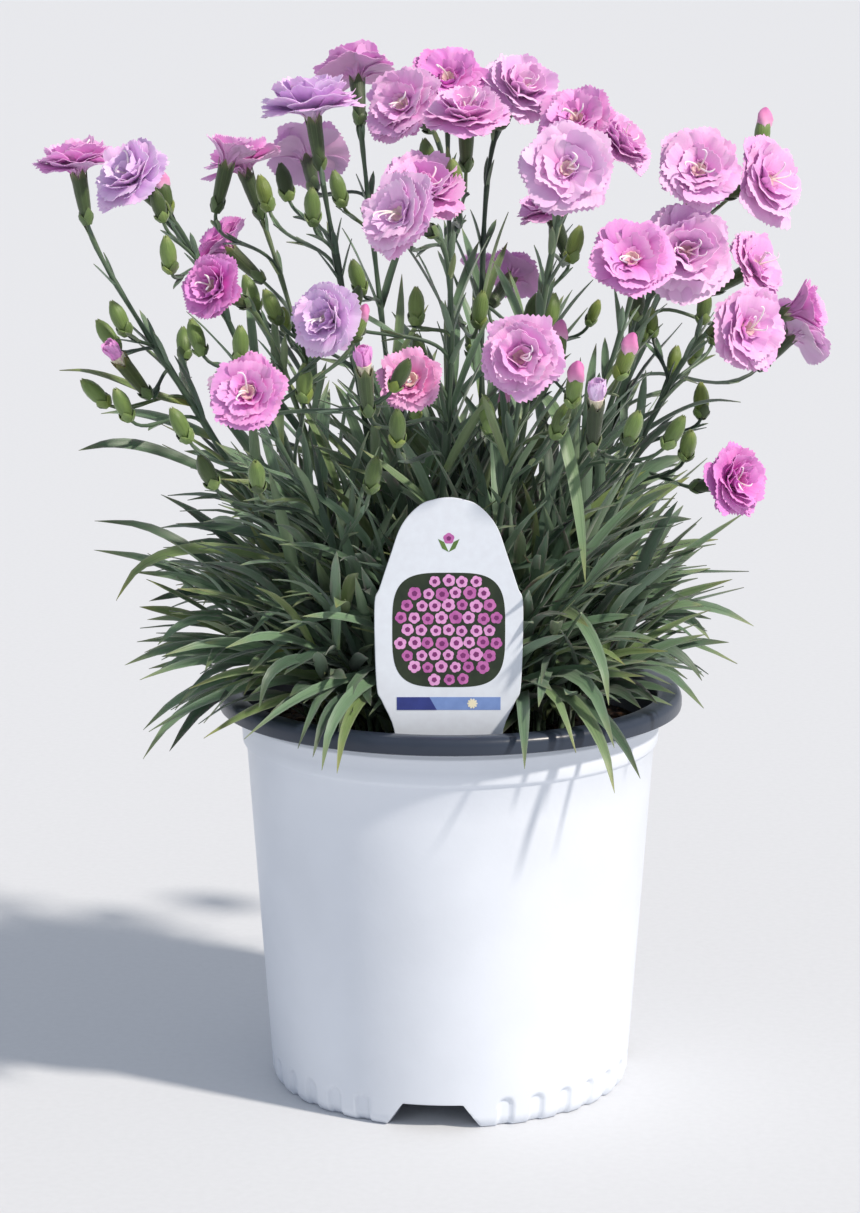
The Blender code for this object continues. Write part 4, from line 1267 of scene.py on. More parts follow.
@dataclass
class PlantLabel:
    """The plastic plant label with a plain printed design: a bed of small rosettes and a band with a sun."""

    thickness: float = 0.9
    spot: tuple[float, float] = (-1.0, -65.5)
    lean: float = 2.0
    pivot: float = 128.0
    outline: tuple[tuple[float, float], ...] = (
        (3.0, 96.0), (9.0, 108.0), (16.5, 124.0), (18.4, 142.0), (22.5, 152.0), (24.4, 158.0), (25.0, 184.5),
        (23.2, 191.0), (19.4, 202.5), (16.6, 210.5), (13.2, 215.6), (8.8, 219.4), (4.6, 220.8),
    )
    head: float = 221.4
    bed: float = 176.5              # the height of the printed bed's middle
    pitch: tuple[float, float] = (4.6, 4.2)
    ink_height: float = 0.07
    card: Finish = InkFinish("white_polystyrene", roughness=0.28, low="d8dee8", high="dde4ee")
    inks: tuple[Finish, ...] = tuple(InkFinish("ink_" + name, high=high, low=low) for name, high, low in (
        ("dark_green", "26331f", "1a2617"), ("pink", "c673b4", "a9529a"), ("pale_pink", "e2a5d8", "d28cc6"),
        ("plum", "7c2c70", "6a2360"), ("light_blue", "7a96cf", "708cc6"), ("dark_blue", "2c3a86", "26327a"),
        ("cream", "f2ecd2", "e8e0c0"), ("leaf_green", "5d7d3c", "4e6d34"),
    ))

    def frame(self) -> Matrix:
        """The frame of the front face: X to the right, Y up the label, Z out of its face."""
        lean = Matrix.Translation(place(*self.spot, self.pivot)) @ Matrix.Rotation(math.radians(-self.lean), 4, "X")
        stand = Matrix.Translation(place(0, 0, -self.pivot)) @ Matrix.Rotation(math.radians(90), 4, "X")
        return lean @ stand

    def edge(self) -> np.ndarray:
        """The outline with its head and shoulders rounded, as points right and left of the middle."""
        right = smooth_path([Vector((x, y, 0.0)) for x, y in self.outline], 60)[:, :2]
        top = np.array([[x, self.head - (x / 4.6) ** 2 * 0.6] for x in (3.0, 1.5, 0.0)])
        right = np.vstack([right, top])
        left = right[:-1][::-1] * np.array([-1.0, 1.0])
        return np.vstack([right, left])

    def stake(self, skin: Skin) -> None:
        """The plastic itself, its edges barely rounded."""
        edge = self.edge()
        middle = np.array([0.0, 165.0])
        rings = []
        for inset, share in ((0.25, -1.0), (0.0, -0.56), (0.0, 0.56), (0.25, 1.0)):
            away = edge - middle
            inward = away / np.linalg.norm(away, axis=1, keepdims=True)
            flat = edge - inward * inset
            rings.append(np.column_stack([flat, np.full(len(flat), share * self.thickness / 2)]))
        skin.loft(np.array(rings) * MM, 0, self.frame())

    def printed(self, skin: Skin, outline: np.ndarray, finish: int, layer: int = 1) -> None:
        """One printed shape, a film of ink on the front face."""
        low = self.thickness / 2 + self.ink_height * (layer - 1) - 0.02
        rings = [np.column_stack([outline, np.full(len(outline), z)]) for z in (low, low + self.ink_height + 0.02)]
        skin.loft(np.array(rings) * MM, finish, self.frame())

    def rosette(self, x: float, y: float, size: float, spin: float, petals: int = 5, depth: float = 0.2) -> np.ndarray:
        """The outline of a simple flower with round petals."""
        angles = turns(petals * 6)
        reach = size * (1 - depth + depth * np.abs(np.cos(petals / 2 * (angles - spin))) ** 0.6)
        return np.column_stack([x + reach * np.cos(angles), y + reach * np.sin(angles)])

    def print_design(self, skin: Skin) -> None:
        """The design: an oval bed of staggered rosettes with leaves between them, over a band with a sun."""
        angles = turns(72)
        bed = np.column_stack([
            19.0 * np.sign(np.cos(angles)) * np.abs(np.cos(angles)) ** 0.55,
            self.bed + 19.5 * np.sign(np.sin(angles)) * np.abs(np.sin(angles)) ** 0.55,
        ])
        self.printed(skin, bed, 1)
        chance = random.Random(SEED + 601)
        for row in range(9):
            for column in range(9):
                x = -18.4 + column * self.pitch[0] + (row % 2) * 2.3 + chance.uniform(-0.3, 0.3)
                y = 159.6 + row * self.pitch[1] + chance.uniform(-0.3, 0.3)
                if (abs(x) / 16.9) ** 3.4 + (abs(y - self.bed) / 17.4) ** 3.4 > 1.0:
                    continue
                size, spin = chance.uniform(1.9, 2.35), chance.uniform(0, 1.2)
                self.printed(skin, self.rosette(x, y, size, spin), chance.choice((2, 2, 3, 3, 3)), 2)
                self.printed(skin, self.rosette(x, y, size * 0.42, spin + 0.6), 4, 3)
        band = np.array([[-17.5, 149.2], [17.5, 149.2], [17.5, 153.6], [-17.5, 153.6]])
        self.printed(skin, band, 5)
        self.printed(skin, np.array([[-17.5, 149.2], [-4.0, 149.2], [-6.5, 153.6], [-17.5, 153.6]]), 6, 2)
        self.printed(skin, self.rosette(8.0, 151.4, 1.75, 0.0, 10, 0.35), 7, 2)
        for side in (-1, 1):
            sprig = np.array([[0.0, 203.0], [side * 2.2, 204.2], [side * 3.6, 207.4], [side * 1.6, 206.4]])
            self.printed(skin, sprig[::side], 8)
        self.printed(skin, self.rosette(0.0, 207.6, 1.9, math.pi / 2), 2)
        self.printed(skin, self.rosette(0.0, 207.6, 0.8, math.pi / 2), 4, 2)

    def build(self) -> None:
        """Make the label with its print and put it in the scene."""
        skin = Skin()
        self.stake(skin)
        self.print_design(skin)
        piece = skin.piece("plant_label", [self.card.made(), *(ink.made() for ink in self.inks)], 30.0)
        hand_over(piece, "label_plastic", "label")


# ---- plant


AROUND = turns(20)                                  # the sides of calyxes, buds and claw bundles
TOOTH = np.tile([0.0, 0.5, 1.0, 0.5], 5)            # five teeth round a mouth


class Green(Enum):
    """The finishes of a spray, in the order of its material slots."""

    LEAF = 0
    STEM = 1
    CALYX = 2
    BUD = 3
    BUD_TIP = 4


@dataclass
class GreenSpray:
    """One spray's fine green piece: jointed stems, toothed calyxes, buds and channelled leaves."""

    plan: GrowthPlan
    index: int
    stem_radius: float = 0.98
    stalk_radius: float = 0.7
    leaf_rows: int = 9
    shoots: int = 6
    clump: tuple[float, float] = (104.0, 88.0)      # how far leaf tips reach to the sides, and to front and back
    rim_reach: float = 88.0
    lowest_tips: tuple[float, float] = (122.0, 146.0)       # outside the rim, and above the soil
    label_room: tuple[float, float, float] = (27.0, -60.0, 225.0)   # its half width, how near, and how high
    tries: tuple[float, ...] = (1, 0.82, 0.66)      # the shares of its length at which room for a leaf is sought
    free_length: float = 24.0                       # shorter leaves aren't tested
    other_joints: tuple[float, ...] = (0.08, 0.16, 0.36, 0.56, 0.68, 0.8, 0.92)
    joint_gap: float = 0.05
    shoot_steps: int = 14
    shoot_spacing: float = 42.0                     # degrees
    shoot_leaf_widths: tuple[float, float] = (3.6, 5.1)
    skin: Skin = field(default_factory=Skin)

    def __post_init__(self) -> None:
        """Seed the draws of this spray's fine detail."""
        self.chance = random.Random(SEED * 31 + self.index)
        self.draw = self.chance.uniform
        self.stem = self.plan.stems[self.index]

    def leaf(self, spots: Sequence[Vector], width: float, roll: float, twist: float, rows: int | None = None) -> None:
        """One channelled leaf with parallel sides and an acute tip.

        Args:
            spots: what its middle line passes through.
            width: its width in millimetres.
            roll: how far its face is turned sideways, in degrees.
            twist: how far it turns on from there to its tip.
            rows: how many lengths it is cut into.
        """
        rows = rows or self.leaf_rows
        path = smooth_path(spots, rows + 1)
        t = np.linspace(0, 1, rows + 1)
        along = np.gradient(path, axis=0)
        along /= np.linalg.norm(along, axis=1, keepdims=True)
        across = np.cross(along, np.array([0.0, 0.0, 1.0]))
        across /= np.maximum(np.linalg.norm(across, axis=1, keepdims=True), 1e-9)
        up = np.cross(across, along)
        turn = np.radians(roll + twist * t ** 1.5)[:, None]
        across, up = across * np.cos(turn) + up * np.sin(turn), up * np.cos(turn) - across * np.sin(turn)
        taper = np.clip(1 - ((t - 0.5) / 0.5).clip(0) ** 2.5, 0.03, 1)
        wide = width * 0.5 * (0.7 + 0.3 * ramp(t, 0.0, 0.25)) * taper
        deep, thick = wide * (0.3 - 0.14 * t), 0.5 * (1 - 0.6 * t) + 0.06
        shares = ((-1.0, 0.0), (-0.5, -0.6), (0.0, -1.0), (0.5, -0.6), (1.0, 0.0))
        rings = [path + (across * (wide * side)[:, None] + up * (deep * drop)[:, None]) * MM for side, drop in shares]
        rings.append(path - up * (deep + thick)[:, None] * MM)
        marks = {
            Mark.ALONG: np.repeat(t, 6), Mark.ACROSS: np.tile([-1.0, -0.5, 0.0, 0.5, 1.0, 0.0], rows + 1),
            Mark.HUE: self.chance.random(), Mark.UNDER: np.tile([0.25, 0.0, 0.0, 0.0, 0.25, 1.0], rows + 1),
        }
        self.skin.loft(np.stack(rings, axis=1), Green.LEAF.value, None, marks)

    def pair(self, spot: Vector, along: Vector, turn: float, length: float, width: float, spread: float,
             bend: float) -> None:
        """Two leaves that face each other at a joint.

        Args:
            spot: the joint.
            along: the stem's direction there.
            turn: the side that the first one takes, round the stem.
            length: the leaves' length in millimetres.
            width: their width.
            spread: how far they lean away from the stem.
            bend: how far they droop along their length.
        """
        side = along.orthogonal().normalized()
        side.rotate(Matrix.Rotation(math.radians(turn), 3, along))
        for sign in (1, -1):
            lean = math.radians(spread + self.draw(-6, 6))
            way = along * math.cos(lean) + side * (sign * math.sin(lean))
            turn, climb = math.degrees(math.atan2(way.y, way.x)), math.degrees(math.asin(max(-1, min(1, way.z))))
            size, sway = length * self.draw(0.85, 1.1), self.draw(-14, 14)
            tests = [Leaf(spot, turn, climb, bend, size * share, width, 4, sway) for share in self.tries]
            leaf = next((test for test in tests if length < self.free_length or self.clear(test)), None)
            if leaf is None:
                continue
            roll = self.draw(-36, 36) - 24 * way.x if length > self.free_length else 0
            self.leaf(leaf.spots(), width, roll, self.draw(-44, 44), None if length > 30 else 6)

    def clear(self, leaf: Leaf) -> bool:
        """Whether a leaf stays in the clump and keeps clear of the pot, the label and the flowers."""
        end = leaf.spots()[-1] / MM
        outside, inside = self.lowest_tips
        lowest = outside if math.hypot(end.x, end.y) > self.rim_reach else inside
        reach = self.clump[0] - max(0.0, end.z - 200) * 0.25
        if math.hypot((end.x + 9) / reach, end.y / self.clump[1]) > 1 or end.z < lowest:
            return False
        aside, near, high = self.label_room
        if abs(end.x) < aside and end.y < near and end.z < high:
            return False
        return not touches(leaf.solid(self.plan.leaf_thickness), self.plan.solid_ground + self.plan.flower_trees)

    def stem_tube(self, path: list[Vector], low: float, high: float, joints: Sequence[float], sides: int) -> None:
        """A stem with swollen joints.

        Args:
            path: its points.
            low: its radius at its foot, in millimetres.
            high: its radius at its top.
            joints: where its joints are, as shares of its length.
            sides: how many sides it has.
        """
        t = np.linspace(0, 1, len(path))
        radii = low + (high - low) * t
        for joint in joints:
            radii = radii + 0.34 * low * np.exp(-((t - joint) / (1.1 / len(path))) ** 2)
        marks = {Mark.HUE: self.chance.random()}
        self.skin.tube(np.array([tuple(point) for point in path]), radii * MM, sides, Green.STEM.value, marks)

    def calyx(self, foot: Vector, axis: Vector) -> None:
        """The green tube that holds the petals, with five pointed teeth, and the scales at its foot."""
        matrix = frame_at(foot, axis, self.draw(0, 6.28))
        rows = [(0.0, 0.9), (0.7, 1.35), (2.5, 1.85), (6.0, 2.3), (11.0, 2.65), (14.6, 2.75)]
        rings = [ring(r, AROUND, z) for z, r in rows]
        for reach, rise, lift in ((2.9, 15.6, 3.6), (2.62, 15.5, 3.3), (2.3, 13.8, 0.0)):
            rings.append(ring(reach + 0.3 * TOOTH * (lift > 0), AROUND, rise + lift * TOOTH))
        along = np.array([0, 0.05, 0.15, 0.35, 0.6, 0.8, 0.9, 0.9, 0.8])[:, None] + np.zeros(20)
        along[6:8] += 0.1 * TOOTH
        self.cup(rings, along, Green.CALYX, matrix)
        self.scales(matrix, reach=1.95, height=6.2)

    def cup(self, rings: list[np.ndarray], along: np.ndarray, finish: Green, matrix: Matrix) -> None:
        """A closed cup with five ribs, from its rings in millimetres and how far along each point is."""
        ribs = np.tile(np.cos(5 * AROUND), len(rings))
        marks = {Mark.ALONG: along, Mark.HUE: self.chance.random(), Mark.ACROSS: ribs}
        self.skin.loft(np.array(rings) * MM, finish.value, matrix, marks)

    def scales(self, matrix: Matrix, reach: float, height: float, finish: Green = Green.CALYX) -> None:
        """Four pointed scales that clasp the foot of a calyx or bud, in two pairs."""
        v = np.linspace(-1, 1, 5)[None, :]
        u = np.array([0.0, 0.25, 0.5, 0.75, 1.0])[:, None]
        for number in range(4):
            tall = height * (1.0 if number < 2 else 0.72)
            middle = math.radians((0, 180, 90, 270)[number])
            angle = middle + v * math.radians(66) * (1 - u ** 1.8)
            around = 0.95 + (reach - 0.95) * ramp(u, -0.1, 0.6) + 0.3 + 0.3 * u + 0 * v
            top = np.stack([around * np.cos(angle), around * np.sin(angle), -0.3 + tall * u + 0 * v], axis=2)
            marks = {Mark.ALONG: 0.25 + 0.6 * u + 0 * v, Mark.ACROSS: v + 0 * u, Mark.HUE: self.chance.random()}
            self.skin.plate(top * MM, np.full(top.shape[:2], 0.3 * MM), finish.value, matrix, marks)

    def closed_bud(self, foot: Vector, axis: Vector, pink: bool, size: float = 1.0) -> None:
        """A closed bud, whose five teeth meet over it or let a rolled tip of petals show."""
        matrix = frame_at(foot, axis, self.draw(0, 6.28))
        rows = [(0.0, 0.9), (0.6, 1.45), (2.2, 2.15), (4.8, 2.75), (7.4, 2.85)]
        rows += [(9.4, 2.6)] if pink else [(9.6, 2.45), (11.4, 1.65)]
        rings = []
        for z, r in rows:
            lobes = 1 + 0.07 * np.cos(5 * AROUND) * max(0.0, (z - 5) / 6)
            rings.append(ring(r * lobes, AROUND, z))
        top, lift = (10.2, 2.4) if pink else (12.4, 0.9)
        for reach, drop in ((1.0, 0.0), (0.84, 0.15), (0.6, 1.0)):
            around = (2.15 if pink else 0.75) * reach * (1 - 0.2 * TOOTH)
            rings.append(ring(around, AROUND, top - drop + lift * TOOTH * (reach > 0.7)))
        along = np.array([0.0, 0.05, 0.2, 0.4, 0.6, *([0.8] if pink else [0.75, 0.88]), 0.95, 0.95, 0.9])
        shape = matrix @ Matrix.Scale(size, 4)
        self.cup(rings, np.repeat(along, 20), Green.BUD, shape)
        if pink:
            rolled = []
            for z, r in ((8.4, 2.2), (10.2, 2.65), (12.0, 2.8), (13.6, 2.4), (14.9, 1.7), (15.9, 0.9), (16.3, 0.3)):
                rolled.append(ring(r * (1 + 0.17 * np.sin(3 * AROUND + z * 0.7)), AROUND, z))
            marks = {Mark.ALONG: np.repeat([0.2, 0.4, 0.55, 0.65, 0.75, 0.9, 1.0], 20), Mark.HUE: 0.4}
            self.skin.loft(np.array(rolled) * MM, Green.BUD_TIP.value, shape, marks)
        self.scales(shape, reach=2.3, height=5.0, finish=Green.BUD)

    def joints(self) -> list[float]:
        """Where the main stem has joints: at its leaf pairs, at its stalks and between them."""
        fixed = [*self.plan.leaf_joints, *(head.leaves_stem for head in self.stem.spray.heads[1:])]
        return sorted(fixed + [spot for spot in self.other_joints
                               if all(abs(spot - other) > self.joint_gap for other in fixed)])

    def main_stem(self) -> None:
        """The main stem with a pair of leaves or bracts at each joint."""
        stem, joints = self.stem, self.joints()
        steps = self.plan.fine_steps
        spots = [(1 + steps * joint) / (steps + 1) for joint in joints]
        self.stem_tube(stem.curve, self.stem_radius, self.stalk_radius, spots, sides=8)
        turn = self.draw(0, 180)
        for joint in joints:
            turn += 90
            if joint in self.plan.leaf_joints:
                continue
            spot, above = self.plan.at(stem, joint), self.plan.at(stem, min(joint + 0.03, 1.0))
            length = 66 * (1 - joint) ** 1.1 + 8 if joint < 0.62 else 24 * (1 - joint) + 7
            width = 3.6 * (1 - joint) + 1.6
            self.pair(spot, (above - spot).normalized(), turn, length, width, 14 + 20 * (1 - joint), 36 * (1 - joint))

    def stalk(self, path: list[Vector]) -> None:
        """A stalk with one or two small pairs of bracts."""
        reach = sum((b - a).length for a, b in zip(path, path[1:]))
        joints = [0.5, 0.84] if reach > 45 * MM else [0.62]
        self.stem_tube(path, self.stalk_radius, self.stalk_radius * 0.88, joints, sides=7)
        turn = self.draw(0, 180)
        for joint in joints:
            turn += 90
            spot, along = on_path(path, int(joint * (len(path) - 1)))
            length = self.draw(6, 12) if joint < 0.8 else self.draw(4, 7)
            self.pair(spot, along, turn, length, width=2.2, spread=13, bend=8)

    def shoot(self, number: int) -> None:
        """A leafy shoot without flowers from the plant's crown, which makes the clump dense.

        Args:
            number: which of the spray's shoots it is.
        """
        root = self.stem.spray.root
        edge = math.hypot(*root) / self.plan.crown_radius
        out = math.degrees(math.atan2(root[1], root[0]))
        side = out + (number - (self.shoots - 1) / 2) * self.shoot_spacing + self.draw(-30, 30)
        near, away = math.radians(self.draw(0, 360)), self.draw(3, 14)
        foot = place(root[0] + away * math.cos(near), root[1] + away * math.sin(near), self.plan.soil_top + 1)
        tilt = min(8 + 40 * edge + self.draw(-12, 12), 58)
        length = self.draw(30, 84) + 34 * (1 - edge)
        land = heading(side, tilt + 14) * length * 0.3 * MM
        top = foot + heading(side, tilt) * length * MM
        path = bezier(foot, Vector((0, 0, length * 0.35 * MM)), top, land, self.shoot_steps)
        if touches(coarse_tube(path, [1.2 * MM] * len(path), 3), self.plan.solid_ground):
            return
        pairs = max(3, int(length / 11))
        joints = [(number + 1) / (pairs + 0.4) for number in range(pairs)]
        self.stem_tube(path, low=1.0, high=0.2, joints=joints, sides=6)
        turn = self.draw(0, 180)
        for order, joint in enumerate(joints):
            turn += 90
            spot, along = on_path(path, int(joint * self.shoot_steps))
            last = order >= pairs - 1
            spread = 12 if last else 46 - 24 * joint
            size = self.draw(46, 78) * (0.75 if last else 1.0)
            self.pair(spot, along, turn, size, self.draw(*self.shoot_leaf_widths), spread, self.draw(15, 75))

    def arch(self, arch: Arch) -> None:
        """A leaf that ends where the photograph shows its tip."""
        start, tip_spot = self.plan.at(self.stem, arch.share), place(*arch.tip)
        across = tip_spot - start
        turn, reach = math.degrees(math.atan2(across.y, across.x)), across.length
        leave = heading(turn + arch.swing, 90 - arch.climb) * reach * 0.42
        arrive = heading(turn - arch.swing, 90 + arch.hang) * reach * 0.36
        path = bezier(start, leave, tip_spot, arrive, 6)
        if touches(coarse_tube(path, [MM] * len(path), 3), self.plan.solid_ground):
            LOG.info("spray %d: the leaf to %s has no room", self.index + 1, arch.tip)
            return
        self.leaf(path, arch.width, -46 * across.x / reach, self.draw(-30, 30), rows=14)

    def late_buds(self, finds: Sequence[tuple[Vector, float]]) -> None:
        """Small buds on thin stalks, each from the stem that it is nearest to.

        Args:
            finds: each bud's heart, and the share of the stem where its stalk starts.
        """
        for heart, share in finds:
            start = self.plan.at(self.stem, share)
            axis = ((heart - start).normalized() + Vector((0, 0, 1.2))).normalized()
            size = self.draw(0.72, 0.95)
            foot = heart - axis * (6 * size * MM)
            reach = (foot - start).length
            along = (self.plan.at(self.stem, share + 0.03) - start).normalized()
            self.stalk(bezier(start, along * reach * 0.4, foot + axis * 0.5 * MM, axis * reach * 0.35, 14))
            self.closed_bud(foot, axis, self.chance.random() < 0.12, size)

    def build(self, finds: Sequence[tuple[Vector, float]], finishes: Sequence[bpy.types.Material]) -> None:
        """Make the spray and put it in the scene."""
        self.main_stem()
        for path in self.stem.stalks:
            self.stalk(path)
        for head, foot, axis in self.stem.tops:
            if head.kind is Kind.BUD:
                self.closed_bud(foot, axis, head.pink)
            else:
                self.calyx(foot, axis)
        for leaf in self.stem.leaves:
            self.leaf(leaf.spots(), leaf.width, self.draw(-25, 25), self.draw(-45, 45))
        for arch in ARCHES:
            if arch.spray == self.index + 1:
                self.arch(arch)
        for number in range(self.shoots):
            self.shoot(number)
        self.late_buds(finds)
        name = f"spray_{self.index + 1:02d}"
        hand_over(self.skin.piece(name + "_green", finishes, 65.0), "dianthus_green", name)


@dataclass(frozen=True)
class PetalRing:
    """One whorl of petals: how many, their length and width as shares of the flower's reach, and their lift."""

    count: int
    length: float
    width: float
    lift: float             # degrees above level where the limb starts
    tip_lift: float         # the same at its edge
    cup: float              # how far its sides curl up, as a share of its width
    ruffle: float           # how deep its waves are, in millimetres


@dataclass
class Bloom:
    """One flower: whorls of fringed petals round pale styles, on a bundle of claws."""

    number: int
    head: Head
    mouth: Vector
    axis: Vector
    rooms: list[list[PetalRoom]]
    columns: tuple[int, ...] = (25, 23, 19, 15, 11)         # for a petal of each whorl
    line_points: int = 40
    claw_length: float = 4.6
    claw_slope: float = 86.0
    claw_half_width: float = 0.75
    tooth_length: float = 0.5
    thickness: float = 0.34
    thinning: float = 0.2                                   # from the claw to the edge
    skin: Skin = field(default_factory=Skin)

    ROWS = np.array([0.0, 0.13, 0.28, 0.46, 0.64, 0.8, 0.93, 1.0])
    WHORLS = {              # the values of a PetalRing for each whorl, from the outside
        Kind.BLOOM: (
            (5, 1.06, 1.44, 8, -6, 0.03, 0.7), (5, 1.03, 1.32, 24, 12, 0.06, 0.9), (5, 0.99, 1.12, 47, 38, 0.1, 1.0),
            (4, 0.92, 0.92, 64, 58, 0.16, 1.0), (3, 0.66, 0.6, 78, 80, 0.24, 0.8),
        ),
        Kind.WIDE: (
            (5, 1.06, 1.46, 6, -6, 0.03, 0.6), (5, 1.0, 1.38, 17, 7, 0.05, 0.8), (5, 0.88, 1.16, 32, 24, 0.08, 1.0),
            (3, 0.66, 0.92, 50, 44, 0.14, 0.9), (3, 0.44, 0.5, 70, 76, 0.22, 0.6),
        ),
        Kind.HALF: (
            (5, 1.36, 1.25, 46, 36, 0.12, 0.7), (5, 1.28, 1.05, 62, 58, 0.18, 0.8),
            (4, 1.12, 0.85, 76, 80, 0.24, 0.9), (3, 0.9, 0.6, 84, 92, 0.3, 0.8),
        ),
        Kind.TIP: (
            (5, 1.75, 1.15, 78, 100, 0.3, 0.3), (4, 1.65, 0.9, 84, 108, 0.36, 0.3), (3, 1.4, 0.7, 88, 104, 0.36, 0.3),
        ),
    }

    def __post_init__(self) -> None:
        """Take the layout's spin, and seed the draws of the fine petals."""
        self.chance = random.Random(SEED * 1009 + self.number)
        self.draw = self.chance.uniform
        self.matrix = frame_at(self.mouth, self.axis, random.Random(SEED + self.number).uniform(0, math.tau))

    def room(self, turn: float, order: int) -> PetalRoom:
        """How much room the layout left for a petal at this turn, in a low whorl or a high one."""
        whorl = self.rooms[min(order, len(self.rooms) - 1)]
        return min(whorl, key=lambda room: abs((room.turn - turn + 180) % 360 - 180))

    def middle_line(self, length: float, lift: float, tip_lift: float) -> tuple[np.ndarray, ...]:
        """The petal's middle from inside the calyx to its edge.

        Args:
            length: its length in millimetres.
            lift: its slope where the limb starts.
            tip_lift: its slope at the edge.

        Returns:
            The distance along it, the distance from the flower's axis, the height, and the slope in radians.
        """
        s = np.linspace(0, length, self.line_points)
        share = s / length
        claw, steep = min(0.34, self.claw_length / length), self.claw_slope
        slope = steep + (lift - steep) * ramp(share, claw * 0.25, claw * 1.5)
        slope = np.radians(slope + (tip_lift - lift) * ramp(share, claw, 1.0))
        step = length / (self.line_points - 1)
        out = 1.3 + np.concatenate([[0], np.cumsum(np.cos(slope[:-1]) * step)])
        height = -1.6 + np.concatenate([[0], np.cumsum(np.sin(slope[:-1]) * step)])
        return s, out, height, slope

    def petal(self, whorl: PetalRing, order: int, turn: float) -> None:
        """One petal: a narrow claw, then a wide waved limb with a toothed edge.

        Args:
            whorl: the whorl that it belongs to.
            order: the whorl's number, from the outside.
            turn: the side that it takes.
        """
        draw, reach = self.draw, self.head.width / 2
        room = self.room(turn, 0 if whorl.lift < 34 or self.head.kind is not Kind.BLOOM and order == 0 else 1)
        size = draw(0.92, 1.05) * room.share
        length = (reach * whorl.length + 1.6) * size
        width = reach * whorl.width * size * draw(0.92, 1.08)
        lift = min(whorl.lift + room.more * (1.0 if whorl.lift < 34 else 0.6) + draw(-5, 5), 88)
        tip_lift = min(whorl.tip_lift + room.more + draw(-9, 9), 104)
        s, out, height, slope = self.middle_line(length, lift, tip_lift)
        columns = self.columns[order]
        v = np.linspace(-1, 1, columns)[None, :]
        u = self.ROWS[:, None]
        teeth = (np.arange(columns) % 2 * 2 - 1) * np.array([draw(0.5, 1.2) for _ in range(columns)])
        edge = 1 - 0.17 * np.abs(v) ** 2.4 + 0.03 * np.sin(v * draw(3, 6) + draw(0, 6))
        far = u * edge * length + (u > 0.99) * teeth[None, :] * self.tooth_length + 0 * v
        far = np.clip(far, 0, length)
        radial, rise, angle = (np.interp(far, s, line) for line in (out, height, slope))
        narrow = self.claw_half_width
        side = (narrow + (width / 2 - narrow) * ramp(u, 0.05, 0.86) ** 0.85) * v
        wave = whorl.ruffle * draw(0.7, 1.3) * reach / 14
        phases = [draw(0, 6.28) for _ in range(3)]
        lobes = draw(1.3, 2.3)
        lifted = whorl.cup * draw(0.4, 1.4) * width * v ** 2 * ramp(u, 0.1, 0.9)
        lifted = lifted + wave * u ** 2 * (
            0.75 * np.sin(lobes * math.pi * v * 0.8 + phases[0]) + 0.25 * np.sin(lobes * math.pi * 2.1 * v + phases[1])
        )
        lifted = lifted + wave * 0.5 * np.sin(u * 5 + phases[2]) * u
        tip_over = math.radians(draw(-14, 14))
        lifted, side = lifted * math.cos(tip_over) + side * math.sin(tip_over) * u, side * math.cos(tip_over * 0.7)
        top = np.stack([radial - np.sin(angle) * lifted, side, rise + np.cos(angle) * lifted], axis=2) * MM
        thick = (self.thickness - self.thinning * u + 0 * v) * MM
        marks = {Mark.ALONG: u + 0 * v, Mark.ACROSS: v + 0 * u, Mark.HUE: self.chance.random()}
        self.skin.plate(top, thick, 0, self.matrix @ Matrix.Rotation(math.radians(turn), 4, "Z"), marks)

    def claws(self) -> None:
        """The pale bundle of claws that comes out of the calyx."""
        rings = []
        tall = 3.0 if self.head.kind is Kind.TIP else self.claw_length
        rows = ((-0.4, 1.9), (0.0, 2.0), (0.5, 2.25), (0.85, 2.6), (0.9, 2.3), (0.6, 1.3), (0.3, 0.5))
        for share, radius in rows:
            rings.append(ring(radius * (1 + 0.05 * np.cos(10 * AROUND)), AROUND, share * tall))
        along = np.repeat([0.0, 0.02, 0.05, 0.1, 0.15, 0.2, 0.25], 20)
        marks = {Mark.ALONG: along, Mark.HUE: 0.5, Mark.ACROSS: np.tile(np.cos(10 * AROUND), len(rows))}
        self.skin.loft(np.array(rings) * MM, 0, self.matrix, marks)

    def styles(self) -> None:
        """The pale curled styles at the heart of an open flower."""
        for number in range(3):
            turn = self.draw(0, 360)
            lean = self.draw(18, 40)
            start, height = place(0, 0, 3.0), self.head.width / 2 * self.draw(0.55, 0.8)
            end = start + heading(turn, lean) * (height * MM)
            path = bezier(start, Vector((0, 0, height * 0.5 * MM)), end, heading(turn + 90, 80) * height * 0.4 * MM, 9)
            path = [self.matrix @ point for point in path]
            radii = np.array([0.34] * 8 + [0.26, 0.12]) * MM
            self.skin.tube(np.array([tuple(point) for point in path]), radii, 6, 1, {Mark.HUE: number / 3})

    def build(self, petal: bpy.types.Material, style: bpy.types.Material) -> None:
        """Make the flower and put it in the scene."""
        self.claws()
        wide = self.head.kind is Kind.BLOOM and self.head.tilt > 30 and self.number % 3
        for order, row in enumerate(self.WHORLS[Kind.WIDE if wide else self.head.kind]):
            whorl = PetalRing(*row)
            for index in range(whorl.count):
                if order == 0:
                    turn = self.rooms[0][index].turn if len(self.rooms[0]) == whorl.count else 72 * index
                else:
                    turn = 360 / whorl.count * (index + 0.5 * (order % 2)) + order * 17 + self.draw(-9, 9)
                self.petal(whorl, order, turn)
        if self.head.kind is Kind.BLOOM:
            self.styles()
        name = f"flower_{self.number:02d}"
        hand_over(self.skin.piece(name + "_petals", [petal, style], 75.0), "petals", name)


